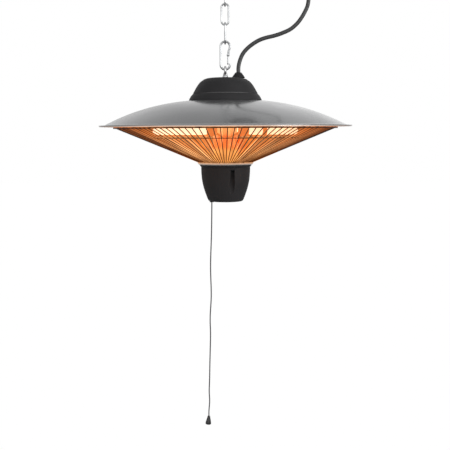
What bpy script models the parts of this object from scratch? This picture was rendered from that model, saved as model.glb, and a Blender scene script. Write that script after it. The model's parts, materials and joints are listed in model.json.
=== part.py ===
"""Hanging patio heater, in metres, with +Z up and the origin at the centre of the ceiling face.

Every piece is laid out in rim coordinates, with height zero at the shade's rim and the vertical axis
through the shade's centre. An empty at the rim carries them all to their place under the ceiling.
"""

import math

import bmesh
import bpy
from mathutils import Matrix, Vector

# Fits that all pieces share
GAP = 0.0003
CUT_OVERRUN = 0.002
WELD = 0.000001

# Facets round each kind of piece
LARGE_SIDES = 44
SHELL_SIDES = 36
BODY_SIDES = 28
SMALL_SIDES = 14
PIN_SIDES = 8
WIRE_BEVEL_STEPS = 1
CORD_BEVEL_STEPS = 2
FINE_STEPS = 20
SHARP_ANGLE = math.radians(40.0)

# Shade
SHADE_RADIUS = 0.2125
SHADE_SHEET = 0.0010
RIM_BEAD_RADIUS = 0.0012
RIM_EDGE = 0.0075
DOME_RADIUS = SHADE_RADIUS - RIM_EDGE
DOME_RISE = 0.0440
DOME_POWER = 2.5
DOME_OUTER_SHARES = (0.35, 0.58, 0.75, 0.88, 0.96, 1.0)
DOME_INNER_SHARES = (1.0, 0.86, 0.55)

# Reflector
REFLECTOR_SHEET = 0.0008
REFLECTOR_RISE = 0.0270
REFLECTOR_FLANGE = 0.0180
REFLECTOR_INSET = 0.0010
REFLECTOR_SHARES = ((0.54, 1.0), (0.75, 0.86), (0.89, 0.52), (1.0, 0.0))

# Wire grille
WIRE_COUNT = 108
WIRES_A_FACET = 2
WIRE = 0.0016
WIRE_OFFSET_ANGLE = math.radians(0.9)
GRILLE_INSET = 0.0160
GRILLE_RADIUS = DOME_RADIUS - GRILLE_INSET
GRILLE_DEPTH = 0.0629
OUTER_RING_WIDTH = 0.0045
OUTER_RING_HEIGHT = 0.0023
INNER_RING_RADIUS = 0.0456
INNER_RING_WIDTH = 0.0036
HOOP_RADIUS = 0.1400

# Stem and what sits at its two ends
STEM_RADIUS = 0.0200
STEM_WALL = 0.0015
STEM_FLANGE_RADIUS = 0.0460
STEM_FLANGE_SHEET = 0.0020
STEM_FOOT_RADIUS = 0.0300
STEM_FOOT_SHEET = 0.0017
STEM_FOOT_HOLE = 0.0120
BASE_PLATE_SHEET = 0.0030
BASE_PLATE_HOLE = 0.0100

# Collar and lower housing
COLLAR_HEIGHT = 0.0020
COLLAR_OVERHANG = 0.0010
COLLAR_RADIUS = INNER_RING_RADIUS + COLLAR_OVERHANG
COLLAR_TAPER = 0.0022
COLLAR_HOLE_INSET = 0.0046
COLLAR_HOLE = INNER_RING_RADIUS - COLLAR_HOLE_INSET
CUP_INSET = 0.0018
CUP_RADIUS = INNER_RING_RADIUS - CUP_INSET
CUP_HEIGHT = 0.0629
CUP_WALL = 0.0022
CUP_OUTLINE_SHARES = (
    (1.0, 0.0),
    (0.978, 0.035),
    (0.954, 0.075),
    (0.948, 0.21),
    (0.918, 0.428),
    (0.847, 0.645),
    (0.740, 0.863),
    (0.689, 0.946),
    (0.651, 0.973),
    (0.548, 0.989),
    (0.0, 1.0),
)
CUP_INSIDE_SHARES = ((0.952, 0.075), (0.948, 0.21), (0.918, 0.428), (0.847, 0.645), (0.740, 0.863))
HOUSING_SCREW_COUNT = 3
HOUSING_SCREW_ANGLE = math.radians(-74.0)
HOUSING_SCREW_INSET = 0.0053
HOUSING_SCREW_CIRCLE = CUP_RADIUS - HOUSING_SCREW_INSET
ACCESS_RADIUS = 0.0040
BOSS_WALL = 0.0022
BOSS_CEILING = 0.0065
HOUSING_SCREW_RADIUS = 0.0018
SCREW_HEAD_RADIUS = 0.0034
SCREW_HEAD_HEIGHT = 0.0024

# Top cap
CAP_RADIUS = 0.0615
CAP_TOP = 0.0800
CAP_WALL = 0.0020
CAP_OUTLINE_SHARES = (
    (1.0, 0.0),
    (0.995, 0.04),
    (0.950, 0.182),
    (0.904, 0.271),
    (0.842, 0.450),
    (0.779, 0.630),
    (0.696, 0.807),
    (0.624, 0.895),
    (0.579, 0.945),
    (0.500, 0.987),
    (0.430, 1.0),
)
CAP_INSIDE_SHARES = ((0.967, 0.0), (0.917, 0.182), (0.809, 0.450), (0.660, 0.807), (0.53, 0.90))

# Eye bolt, its nuts and the hanger bracket
BOLT_RADIUS = 0.0025
BOLT_TAIL = 0.0010
NUT_FLATS = 0.0080
NUT_HEIGHT = 0.0038
EYE_RADIUS = 0.0080
EYE_WIRE = 0.0042
EYE_BOSS_RADIUS = 0.0037
EYE_BOSS_HEIGHT = 0.0052
BRACKET_SHEET = 0.0030
BRACKET_WIDTH = 0.0160
BRACKET_HALF_SPAN = 0.0310
BRACKET_FOOT = 0.0090
BRACKET_HEIGHT = 0.0180

# Cord gland and terminal block
GLAND_X = 0.0221
GLAND_BASE_RADIUS = 0.0111
GLAND_TOP_RADIUS = 0.00515
GLAND_HEIGHT = 0.0090
GLAND_LIP = 0.0010
GLAND_THREAD_RADIUS = 0.0050
GLAND_THREAD_LENGTH = 0.0080
BLOCK_SIZE = (0.0140, 0.0300, 0.0120)
BLOCK_X = -0.0240

# Heating ring
TUBE_MIDDLE_RADIUS = 0.1165
TUBE_RADIUS = 0.0060
TUBE_WALL = 0.0012
TUBE_HEIGHT = -0.0082
TUBE_START = math.radians(-72.5)
TUBE_END = math.radians(256.0)
TUBE_STEPS = 40
TUBE_SIDES = 8
FILAMENT_SIDES = 5
FILAMENT_RADIUS = 0.0020
CERAMIC_RADIUS = 0.0080
CERAMIC_LENGTH = 0.0140
ARM_ANGLES = (math.radians(-60.0), math.radians(60.0), math.radians(180.0))
ARM_WIDTH = 0.0100
ARM_SHEET = 0.0015
ARM_HEIGHT = 0.0030
HUB_RADIUS = 0.0300
CLIP_SHEET = 0.0012
CLIP_FIT = 0.0007
CLIP_WIDTH = 0.0080
CLIP_FOOT_WIDTH = 0.0060
CLIP_OPENING = math.radians(60.0)
LEAD_RADIUS = 0.0018
LEAD_DROP = 0.0120

# Pull switch
SWITCH_SIZE = (0.0300, 0.0200, 0.0290)
SWITCH_LEFT = -0.0120
SWITCH_FACE = 0.0028
PIVOT_X = -0.0080
PIVOT_HEIGHT = -0.0860
PIVOT_RADIUS = 0.0012
PIVOT_FIT = 0.0003
LEVER_HALF_WIDTH = 0.0025
LEVER_HALF_HEIGHT = 0.00275
LEVER_END = 0.0030
FORK_HALF_GAP = 0.0015
FORK_REACH = 0.0029
ROTOR_X = 0.0080
ROTOR_HEIGHT = -0.0780
ROTOR_RADIUS = 0.0070
ROTOR_TOOTH = 0.0012
ROTOR_TEETH = 8
ROTOR_TOOTH_SHARE = 0.85
ROTOR_THICKNESS = 0.0030
FERRULE_RADIUS = 0.0024
FERRULE_HEIGHT = 0.0040
FERRULE_LIFT = 0.0009
SPRING_RADIUS = 0.0022

# Pull cord, its bush and bead
PULL_CORD_RADIUS = 0.0010
PULL_CORD_SPACING = 0.0060
BUSH_BORE = 0.0016
BUSH_RADIUS = 0.0025
BUSH_FLANGE_RADIUS = 0.0038
BUSH_FLANGE_SHEET = 0.0012
BUSH_RISE = 0.0060
PULL_X = -0.0239
PULL_CORD_ROUTE = (
    (-0.0239, 0.0, -0.1150),
    (-0.0239, 0.0, -0.1290),
    (-0.0240, 0.0, -0.1400),
    (-0.0248, 0.0, -0.1827),
    (-0.0268, 0.0, -0.2403),
    (-0.0259, 0.0, -0.2914),
    (-0.0281, 0.0, -0.3322),
    (-0.0276, 0.0, -0.3626),
    (-0.0289, 0.0, -0.4076),
    (-0.0298, 0.0, -0.4438),
    (-0.0306, 0.0, -0.4638),
    (-0.0299, 0.0, -0.4821),
    (-0.0313, 0.0, -0.5000),
    (-0.0314, 0.0, -0.5088),
)
BEAD_RADIUS = 0.0050
BEAD_HEIGHT = 0.0152
BEAD_OUTLINE_SHARES = (
    (0.0, 0.0),
    (0.46, 0.0),
    (0.62, 0.22),
    (0.84, 0.55),
    (1.0, 0.88),
    (0.94, 0.97),
    (0.7, 1.0),
    (0.0, 1.0),
)

# Snap hook and its gate
SNAP_LENGTH = 0.0498
SNAP_WIDTH = 0.0190
SNAP_WIRE = 0.0035
SNAP_TURN_POINTS = 9
SNAP_NOSE_HEIGHT = 0.0020
GATE_PIVOT_X = 0.0049
GATE_PIVOT_DROP = 0.0144
GATE_SHOULDER = 0.0035
EAR_RADIUS = 0.0026
EAR_SHEET = 0.0010
EAR_GAP = 0.0023
GATE_WIRE = 0.0026
GATE_LENGTH = 0.0159
GATE_LEAN = 0.0006
GATE_NECK = 0.0045
GATE_PIN_RADIUS = 0.0008

# Chain
LINK_LENGTH = 0.0372
LINK_WIDTH = 0.0148
LINK_WIRE = 0.0030
LINK_TURN_POINTS = 7
LINK_COUNT = 5

# Ceiling hook and plate
HOOK_WIRE = 0.0045
HOOK_LOOP_RADIUS = 0.0110
HOOK_REACH = 0.0395
HOOK_LOOP_STEPS = 14
HOOK_LOOP_START = math.radians(160.0)
HOOK_LOOP_END = math.radians(400.0)
HOOK_NECK = 0.0035
HOOK_SPACING = 0.00405
PLATE_RADIUS = 0.0300
PLATE_SHEET = 0.0040
PLATE_BOSS_RADIUS = 0.0060
PLATE_BOSS_HEIGHT = 0.0040
PLATE_SOCKET_CEILING = 0.0020
PLATE_HOLE_RADIUS = 0.0023
PLATE_HOLE_X = 0.0200

# Power cord, its coil, tie and plug
CORD_RADIUS = 0.0034
CORD_SPACING = 0.0136
POWER_CORD_ROUTE = (
    (0.0222, 0.0, 0.0983),
    (0.0243, 0.0010, 0.1079),
    (0.0285, 0.0020, 0.1184),
    (0.0350, 0.0030, 0.1271),
    (0.0448, 0.0040, 0.1355),
    (0.0568, 0.0050, 0.1428),
    (0.0685, 0.0065, 0.1471),
    (0.0836, 0.0080, 0.1508),
    (0.0977, 0.0100, 0.1557),
    (0.1108, 0.0115, 0.1620),
    (0.1218, 0.0130, 0.1715),
    (0.1292, 0.0140, 0.1812),
    (0.1346, 0.0145, 0.1906),
    (0.1390, 0.0150, 0.2002),
    (0.1408, 0.0150, 0.2110),
    (0.1414, 0.0150, 0.2240),
    (0.1385, 0.0150, 0.2410),
    (0.1295, 0.0145, 0.2600),
    (0.1150, 0.0135, 0.2770),
    (0.0990, 0.0123, 0.2885),
)
COIL_MEAN_RADIUS = 0.0345
COIL_STEP = 0.0073
COIL_LAYERS = 4
COIL_WHOLE_TURNS = 5
COIL_POINTS_A_TURN = 24
COIL_START = math.radians(60.0)
COIL_END = math.radians(315.0)
COIL_CLIMB_SHARE = 0.5
COIL_CHAIN_CLEARANCE = 0.0032
COIL_BOTTOM = 0.2220
TAIL_LENGTH = 0.0165
TIE_HEIGHT = 0.0060
TIE_SHEET = 0.0012
TIE_RISE = 0.0060
TIE_WAIST = 0.0080
PLUG_RADIUS = 0.0170
PLUG_LENGTH = 0.0360
PLUG_OUTLINE_SHARES = (
    (0.0, 0.0),
    (0.22, 0.0),
    (0.32, 0.33),
    (0.72, 0.48),
    (0.98, 0.62),
    (1.0, 1.0),
    (0.0, 1.0),
)
PLUG_PIN_RADIUS = 0.0024
PLUG_PIN_LENGTH = 0.0190
PLUG_PIN_SPACING = 0.0190

# Colours, roughness and metallic share of the finishes
FINISHES = {
    "shade_paint": ((0.36, 0.37, 0.38), 0.45, 0.3),
    "black_plastic": ((0.025, 0.026, 0.028), 0.5, 0.0),
    "black_rubber": ((0.015, 0.015, 0.016), 0.6, 0.0),
    "zinc": ((0.62, 0.63, 0.65), 0.35, 1.0),
    "black_steel": ((0.03, 0.03, 0.032), 0.4, 0.6),
    "grille_steel": ((0.32, 0.30, 0.28), 0.4, 0.8),
    "chrome": ((0.75, 0.76, 0.78), 0.15, 1.0),
    "aluminium": ((0.78, 0.77, 0.75), 0.3, 1.0),
    "quartz": ((0.95, 0.80, 0.62), 0.1, 0.0),
    "ceramic": ((0.85, 0.82, 0.76), 0.7, 0.0),
    "tungsten": ((1.0, 0.55, 0.2), 0.5, 0.5),
    "white_plastic": ((0.80, 0.80, 0.78), 0.4, 0.0),
}


def dome_height(radius):
    """Height of the dome's outer surface."""
    return SHADE_SHEET / 2 + DOME_RISE * (1 - (radius / DOME_RADIUS) ** DOME_POWER)


# Heights that follow from the stack of pieces, downwards from the shade's rim
REFLECTOR_TOP = -SHADE_SHEET / 2 - GAP
GRILLE_TOP = REFLECTOR_TOP - REFLECTOR_SHEET - GAP
COLLAR_TOP = -GRILLE_DEPTH - GAP
CUP_TOP = COLLAR_TOP - COLLAR_HEIGHT - GAP
CUP_BOTTOM = CUP_TOP - CUP_HEIGHT
BASE_PLATE_BOTTOM = -GRILLE_DEPTH
BASE_PLATE_TOP = BASE_PLATE_BOTTOM + BASE_PLATE_SHEET
STEM_FOOT_BOTTOM = BASE_PLATE_TOP + GAP
STEM_BOTTOM = STEM_FOOT_BOTTOM + STEM_FOOT_SHEET + GAP
ACCESS_TOP = CUP_TOP - BOSS_CEILING

# and upwards
SHADE_HOLE = STEM_RADIUS + GAP
FLANGE_BOTTOM = dome_height(SHADE_HOLE) + GAP
FLANGE_TOP = FLANGE_BOTTOM + STEM_FLANGE_SHEET
CAP_BASE = dome_height(CAP_RADIUS) + GAP
BRACKET_BASE = FLANGE_TOP + GAP
BRACKET_TOP = BRACKET_BASE + BRACKET_HEIGHT
LOCK_NUT_TOP = BRACKET_TOP - BRACKET_SHEET - GAP
EYE_NUT_BOTTOM = CAP_TOP + GAP
EYE_BOTTOM = EYE_NUT_BOTTOM + NUT_HEIGHT + GAP
EYE_HEIGHT = EYE_BOTTOM + EYE_RADIUS
GLAND_BOTTOM = CAP_TOP + GAP
GLAND_TOP = GLAND_BOTTOM + GLAND_HEIGHT
SNAP_BOTTOM = EYE_HEIGHT + EYE_RADIUS - EYE_WIRE - GAP - SNAP_WIRE / 2
SNAP_TOP = SNAP_BOTTOM + SNAP_LENGTH - SNAP_WIRE
SNAP_HALF_WIDTH = (SNAP_WIDTH - SNAP_WIRE) / 2
GATE_PIVOT_HEIGHT = SNAP_TOP - SNAP_HALF_WIDTH - GATE_PIVOT_DROP
LINK_HALF_LENGTH = (LINK_LENGTH - LINK_WIRE) / 2
LINK_PITCH = LINK_LENGTH - LINK_WIRE - LINK_WIRE - GAP
LOWEST_LINK = SNAP_TOP - SNAP_WIRE / 2 - GAP - LINK_WIRE / 2 + LINK_HALF_LENGTH
TOP_LINK = LOWEST_LINK + LINK_COUNT * LINK_PITCH
CHAIN_AXIS = TOP_LINK - LINK_HALF_LENGTH
HOOK_BOTTOM = TOP_LINK + LINK_HALF_LENGTH - LINK_WIRE / 2 - GAP - HOOK_WIRE / 2
CEILING_HEIGHT = HOOK_BOTTOM + HOOK_REACH

# Places of the cord's coil
COIL_TURNS = COIL_WHOLE_TURNS + (COIL_END - COIL_START) / math.tau
COIL_LAYER_TURNS = COIL_TURNS / COIL_LAYERS
COIL_OUTER = COIL_MEAN_RADIUS + COIL_STEP * COIL_LAYER_TURNS / 2
COIL_INNER = COIL_OUTER - COIL_STEP * COIL_LAYER_TURNS
COIL_X = LINK_WIDTH / 2 + COIL_CHAIN_CLEARANCE + COIL_OUTER + CORD_RADIUS
COIL_HEIGHT = COIL_BOTTOM + COIL_OUTER + CORD_RADIUS
COIL_HALF_DEPTH = (COIL_LAYERS - 1) * COIL_STEP / 2

# Places of the pull cord
FERRULE_BOTTOM = PIVOT_HEIGHT + LEVER_HALF_HEIGHT + FERRULE_LIFT
BEAD_TOP = PULL_CORD_ROUTE[-1][2] - GAP

# Each moving group's axis: its parent group and its point in rim coordinates
AXES = {
    "ceiling": (None, (0, 0, CEILING_HEIGHT)),
    "hook_swing": ("ceiling", (0, 0, HOOK_BOTTOM)),
    "chain_swing": ("hook_swing", (0, 0, CHAIN_AXIS)),
    "gate_hinge": ("chain_swing", (GATE_PIVOT_X, 0, GATE_PIVOT_HEIGHT)),
    "heater_tilt": ("chain_swing", (0, 0, SNAP_BOTTOM)),
    "pull_slide": ("heater_tilt", (PULL_X, 0, FERRULE_BOTTOM)),
    "lever_hinge": ("heater_tilt", (PIVOT_X, 0, PIVOT_HEIGHT)),
    "rotor_hinge": ("heater_tilt", (ROTOR_X, 0, ROTOR_HEIGHT)),
}


def clear_scene():
    for obj in list(bpy.data.objects):
        bpy.data.objects.remove(obj, do_unlink=True)


def add_axes():
    """An empty for each moving group, on its joint's axis, and one at the rim for them all."""
    rim = bpy.data.objects.new("rim_frame", None)
    rim.location = (0, 0, -CEILING_HEIGHT)
    bpy.context.scene.collection.objects.link(rim)
    for name, (parent, point) in AXES.items():
        empty = bpy.data.objects.new(name, None)
        bpy.context.scene.collection.objects.link(empty)
        empty.parent = bpy.data.objects[parent] if parent else rim
        start = Vector(AXES[parent][1]) if parent else Vector()
        empty.location = Vector(point) - start


def make_finish(name, finish):
    colour, roughness, metallic = FINISHES[finish]
    material = bpy.data.materials.new(name + "_finish")
    material.use_nodes = True
    shader = material.node_tree.nodes["Principled BSDF"]
    shader.inputs["Base Color"].default_value = (*colour, 1)
    shader.inputs["Roughness"].default_value = roughness
    shader.inputs["Metallic"].default_value = metallic
    material.diffuse_color = (*colour, 1)
    return material


def link_to_group(obj, group, at):
    """Puts an object whose mesh starts at this rim point under its group's empty."""
    bpy.context.scene.collection.objects.link(obj)
    obj.parent = bpy.data.objects[group]
    obj.location = Vector(at) - Vector(AXES[group][1])
    return obj


def add_piece(name, data, group, finish, at=(0, 0, 0)):
    obj = link_to_group(bpy.data.objects.new(name, data), group, at)
    data.materials.append(make_finish(name, finish))
    if isinstance(data, bpy.types.Mesh):
        data.shade_smooth()
        data.set_sharp_from_angle(angle=SHARP_ANGLE)
    return obj


def add_helper(name, mesh, like):
    """A hidden solid in the same place as the piece that it cuts or joins."""
    helper = bpy.data.objects.new(name, mesh)
    bpy.context.scene.collection.objects.link(helper)
    helper.parent = like.parent
    helper.location = like.location
    helper.hide_render = True
    helper.display_type = "WIRE"
    return helper


def combine(obj, mesh, operation):
    helper = add_helper(f"{obj.name}_{operation.lower()}_{len(obj.modifiers)}", mesh, obj)
    modifier = obj.modifiers.new(operation.title(), "BOOLEAN")
    modifier.operation = operation
    modifier.solver = "EXACT"
    modifier.object = helper


def cut(obj, mesh):
    combine(obj, mesh, "DIFFERENCE")


def fuse(obj, mesh):
    combine(obj, mesh, "UNION")


def finished_mesh(bm):
    """A mesh with its faces pointing out."""
    bmesh.ops.remove_doubles(bm, verts=bm.verts, dist=WELD)
    bmesh.ops.recalc_face_normals(bm, faces=bm.faces)
    mesh = bpy.data.meshes.new("solid")
    bm.to_mesh(mesh)
    bm.free()
    return mesh


def turned(outline, sides):
    """A (radius, height) outline turned about Z. One that starts on the axis is left open there."""
    bm = bmesh.new()
    corners = [bm.verts.new((radius, 0, height)) for radius, height in outline]
    edges = [bm.edges.new(pair) for pair in zip(corners, corners[1:])]
    if outline[0][0] > 0:
        edges.append(bm.edges.new((corners[-1], corners[0])))
    bmesh.ops.spin(
        bm, geom=corners + edges, cent=(0, 0, 0), axis=(0, 0, 1), angle=math.tau, steps=sides, use_merge=True
    )
    return finished_mesh(bm)


def scaled_outline(shares, radius, top, bottom):
    """Outline points from shares of a radius and of the way from one height to another."""
    return [(radius * across, top + (bottom - top) * along) for across, along in shares]


def rod(radius, bottom, top, sides, at=(0, 0)):
    """A vertical rod at a place in the plan."""
    mesh = turned([(0, top), (radius, top), (radius, bottom), (0, bottom)], sides)
    mesh.transform(Matrix.Translation((at[0], at[1], 0)))
    return mesh


def rod_along_y(radius, front, back, sides, at):
    """A rod along Y at an (x, z) place."""
    mesh = rod(radius, -back, -front, sides)
    mesh.transform(Matrix.Translation((at[0], 0, at[1])) @ Matrix.Rotation(math.pi / 2, 4, "X"))
    return mesh


def plate(outline, low, high, plane="XY"):
    """An outline in one plane, extruded square to it."""
    order = {
        "XY": lambda u, v, w: (u, v, w),
        "XZ": lambda u, v, w: (u, w, v),
        "YZ": lambda u, v, w: (w, u, v),
    }
    place = order[plane]
    bm = bmesh.new()
    face = bm.faces.new([bm.verts.new(place(u, v, low)) for u, v in outline])
    made = bmesh.ops.extrude_face_region(bm, geom=[face])
    moved = [item for item in made["geom"] if isinstance(item, bmesh.types.BMVert)]
    bmesh.ops.translate(bm, verts=moved, vec=place(0, 0, high - low))
    return finished_mesh(bm)


def box(low, high):
    corners = [(low[0], low[1]), (high[0], low[1]), (high[0], high[1]), (low[0], high[1])]
    return plate(corners, low[2], high[2])


def arc(centre, radius, start, end, steps):
    """Points along an arc, both ends included."""
    angles = [start + (end - start) * step / steps for step in range(steps + 1)]
    return [(centre[0] + radius * math.cos(a), centre[1] + radius * math.sin(a)) for a in angles]


def at_angle(radius, angle, height=0):
    return Vector((radius * math.cos(angle), radius * math.sin(angle), height))


def smooth_points(route, spacing):
    """Evenly spaced points along a smooth curve through the route's points."""
    points = [Vector(point) for point in route]
    points = [2 * points[0] - points[1]] + points + [2 * points[-1] - points[-2]]
    fine = []
    for before, start, end, after in zip(points, points[1:], points[2:], points[3:]):
        fine += [catmull(before, start, end, after, step / FINE_STEPS) for step in range(FINE_STEPS)]
    fine.append(points[-2])
    lengths = [0]
    for first, second in zip(fine, fine[1:]):
        lengths.append(lengths[-1] + (second - first).length)
    count = max(2, round(lengths[-1] / spacing))
    return [point_at(fine, lengths, lengths[-1] * step / count) for step in range(count + 1)]


def catmull(before, start, end, after, share):
    return (
        2 * start
        + (end - before) * share
        + (2 * before - 5 * start + 4 * end - after) * share**2
        + (3 * start - before - 3 * end + after) * share**3
    ) / 2


def point_at(fine, lengths, along):
    for index, reached in enumerate(lengths[1:]):
        if reached >= along:
            part = (along - lengths[index]) / (reached - lengths[index])
            return fine[index].lerp(fine[index + 1], part)
    return fine[-1]


def tube(points, radius, roundness, cyclic=False):
    """A round tube along the points, with closed ends unless it is a ring."""
    curve = bpy.data.curves.new("tube", "CURVE")
    curve.dimensions = "3D"
    curve.bevel_depth = radius
    curve.bevel_resolution = roundness
    curve.use_fill_caps = not cyclic
    spline = curve.splines.new("POLY")
    spline.points.add(len(points) - 1)
    for target, point in zip(spline.points, points):
        target.co = (*point, 1)
    spline.use_cyclic_u = cyclic
    return curve


def mesh_of(curve):
    """The closed mesh of a tube, for pieces that are joined from several shapes."""
    source = bpy.data.objects.new("tube_source", curve)
    bpy.context.scene.collection.objects.link(source)
    graph = bpy.context.evaluated_depsgraph_get()
    bm = bmesh.new()
    bm.from_mesh(source.evaluated_get(graph).to_mesh())
    bpy.data.objects.remove(source)
    return finished_mesh(bm)


def build_ceiling_plate():
    base = CEILING_HEIGHT - PLATE_SHEET
    boss = base - PLATE_BOSS_HEIGHT
    socket = HOOK_WIRE / 2 + GAP
    outline = [
        (0, CEILING_HEIGHT),
        (PLATE_RADIUS, CEILING_HEIGHT),
        (PLATE_RADIUS, base),
        (PLATE_BOSS_RADIUS, base),
        (PLATE_BOSS_RADIUS, boss),
        (socket, boss),
        (socket, CEILING_HEIGHT - PLATE_SOCKET_CEILING),
        (0, CEILING_HEIGHT - PLATE_SOCKET_CEILING),
    ]
    obj = add_piece("ceiling_plate", turned(outline, BODY_SIDES), "ceiling", "zinc")
    for side in (-1, 1):
        at = (side * PLATE_HOLE_X, 0)
        low, high = base - CUT_OVERRUN, CEILING_HEIGHT + CUT_OVERRUN
        cut(obj, rod(PLATE_HOLE_RADIUS, low, high, PIN_SIDES, at))


def build_ceiling_hook():
    """A screw-in hook whose open loop hangs under its shank."""
    centre = (0, HOOK_BOTTOM + HOOK_LOOP_RADIUS)
    loop = arc(centre, HOOK_LOOP_RADIUS, HOOK_LOOP_START, HOOK_LOOP_END, HOOK_LOOP_STEPS)
    top = CEILING_HEIGHT - PLATE_SOCKET_CEILING - GAP
    neck = centre[1] + HOOK_LOOP_RADIUS + HOOK_NECK
    below_boss = CEILING_HEIGHT - PLATE_SHEET - PLATE_BOSS_HEIGHT - GAP
    route = [(0, 0, top), (0, 0, below_boss), (0, 0, neck)] + [(0, y, z) for y, z in loop]
    points = smooth_points(route, HOOK_SPACING)
    add_piece("ceiling_hook", tube(points, HOOK_WIRE / 2, WIRE_BEVEL_STEPS), "ceiling", "zinc")


def link_points(across):
    """A link's centre line, round its own centre, in the plane of Z and the given direction."""
    radius = (LINK_WIDTH - LINK_WIRE) / 2
    straight = LINK_HALF_LENGTH - radius
    top = arc((0, straight), radius, 0, math.pi, LINK_TURN_POINTS - 1)
    bottom = arc((0, -straight), radius, math.pi, math.tau, LINK_TURN_POINTS - 1)
    return [Vector(across) * u + Vector((0, 0, v)) for u, v in top + bottom]


def build_links():
    face_on, edge_on = (1, 0, 0), (0, 1, 0)
    data = tube(link_points(face_on), LINK_WIRE / 2, WIRE_BEVEL_STEPS, cyclic=True)
    add_piece("top_link", data, "hook_swing", "zinc", (0, 0, TOP_LINK))
    for number in range(1, LINK_COUNT + 1):
        across = edge_on if number % 2 else face_on
        data = tube(link_points(across), LINK_WIRE / 2, WIRE_BEVEL_STEPS, cyclic=True)
        height = TOP_LINK - number * LINK_PITCH
        add_piece(f"chain_link_{number}", data, "chain_swing", "zinc", (0, 0, height))


def build_snap_hook():
    """A bent wire whose right leg ends in two ears for the gate's pin."""
    low, high = SNAP_BOTTOM + SNAP_HALF_WIDTH, SNAP_TOP - SNAP_HALF_WIDTH
    steps = SNAP_TURN_POINTS - 1
    bottom = arc((0, low), SNAP_HALF_WIDTH, 0, -math.pi, steps)
    top = arc((0, high), SNAP_HALF_WIDTH, math.pi, 0, steps)
    nose = (SNAP_HALF_WIDTH, low + SNAP_NOSE_HEIGHT)
    shoulder = (SNAP_HALF_WIDTH, high - GATE_SHOULDER)
    leg_end = (GATE_PIVOT_X, GATE_PIVOT_HEIGHT + EAR_RADIUS)
    outline = [nose] + bottom + top + [shoulder, leg_end]
    mesh = mesh_of(tube([(x, 0, z) for x, z in outline], SNAP_WIRE / 2, CORD_BEVEL_STEPS))
    obj = add_piece("snap_hook", mesh, "chain_swing", "zinc")
    pivot = (GATE_PIVOT_X, GATE_PIVOT_HEIGHT)
    for side in (-1, 1):
        near, far = side * EAR_GAP / 2, side * (EAR_GAP / 2 + EAR_SHEET)
        fuse(obj, ear(min(near, far), max(near, far)))
    half = EAR_GAP / 2 + EAR_SHEET + CUT_OVERRUN
    cut(obj, rod_along_y(GATE_PIN_RADIUS + GAP, -half, half, PIN_SIDES, pivot))
    slot = EAR_GAP / 2
    reach = EAR_RADIUS + CUT_OVERRUN
    low_corner = (GATE_PIVOT_X - reach, -slot, GATE_PIVOT_HEIGHT - reach)
    high_corner = (GATE_PIVOT_X + reach, slot, GATE_PIVOT_HEIGHT + EAR_RADIUS + GAP)
    cut(obj, box(low_corner, high_corner))


def ear(front, back):
    """A rounded plate round the gate's pivot, reaching up into the leg's wire."""
    centre = (GATE_PIVOT_X, GATE_PIVOT_HEIGHT)
    outline = arc(centre, EAR_RADIUS, math.pi, math.tau, PIN_SIDES)
    top = GATE_PIVOT_HEIGHT + EAR_RADIUS + EAR_RADIUS
    outline += [(GATE_PIVOT_X + EAR_RADIUS, top), (GATE_PIVOT_X - EAR_RADIUS + SNAP_WIRE / 2, top)]
    return plate(outline, front, back, "XZ")


def build_gate():
    """A rod that closes the snap hook, with a flat tongue between the ears."""
    tongue = EAR_GAP / 2 - GAP
    pivot = (GATE_PIVOT_X, GATE_PIVOT_HEIGHT)
    reach = EAR_RADIUS - GAP
    neck = GATE_PIVOT_HEIGHT - EAR_RADIUS - GATE_NECK + GATE_WIRE
    outline = arc(pivot, reach, 0, math.pi, PIN_SIDES)
    half = GATE_WIRE / 2 - WELD
    outline += [(GATE_PIVOT_X - half, neck), (GATE_PIVOT_X + half, neck)]
    obj = add_piece("gate", plate(outline, -tongue, tongue, "XZ"), "gate_hinge", "zinc")
    start = (GATE_PIVOT_X, 0, GATE_PIVOT_HEIGHT - EAR_RADIUS - GAP)
    end = (GATE_PIVOT_X - GATE_LEAN, 0, GATE_PIVOT_HEIGHT - GATE_LENGTH)
    fuse(obj, mesh_of(tube([start, end], GATE_WIRE / 2, CORD_BEVEL_STEPS)))
    cut(obj, rod_along_y(GATE_PIN_RADIUS + GAP, -EAR_GAP, EAR_GAP, PIN_SIDES, pivot))
    half_pin = EAR_GAP / 2 + EAR_SHEET
    pin = rod_along_y(GATE_PIN_RADIUS, -half_pin, half_pin, PIN_SIDES, pivot)
    add_piece("gate_pin", pin, "chain_swing", "zinc")


def hexagon(flats):
    return [(flats / math.sqrt(3) * math.cos(a), flats / math.sqrt(3) * math.sin(a)) for a in sixths()]


def sixths():
    return [math.tau * step / 6 for step in range(6)]


def build_nut(name, bottom):
    obj = add_piece(name, plate(hexagon(NUT_FLATS), bottom, bottom + NUT_HEIGHT), "heater_tilt", "zinc")
    low, high = bottom - CUT_OVERRUN, bottom + NUT_HEIGHT + CUT_OVERRUN
    cut(obj, rod(BOLT_RADIUS + GAP, low, high, PIN_SIDES))


def build_eye_bolt():
    """A ring in the YZ plane on a boss and a threaded shank."""
    middle, half = EYE_RADIUS - EYE_WIRE / 2, EYE_WIRE / 2
    section = arc((middle, 0), half, 0, math.tau, PIN_SIDES)[:-1]
    ring = turned(section, SMALL_SIDES)
    ring.transform(Matrix.Translation((0, 0, EYE_HEIGHT)) @ Matrix.Rotation(math.pi / 2, 4, "Y"))
    obj = add_piece("eye_bolt", ring, "heater_tilt", "zinc")
    fuse(obj, rod(EYE_BOSS_RADIUS, EYE_BOTTOM, EYE_BOTTOM + EYE_BOSS_HEIGHT, PIN_SIDES))
    tail = LOCK_NUT_TOP - NUT_HEIGHT - BOLT_TAIL
    fuse(obj, rod(BOLT_RADIUS, tail, EYE_BOTTOM + EYE_WIRE / 2, PIN_SIDES))


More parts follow.
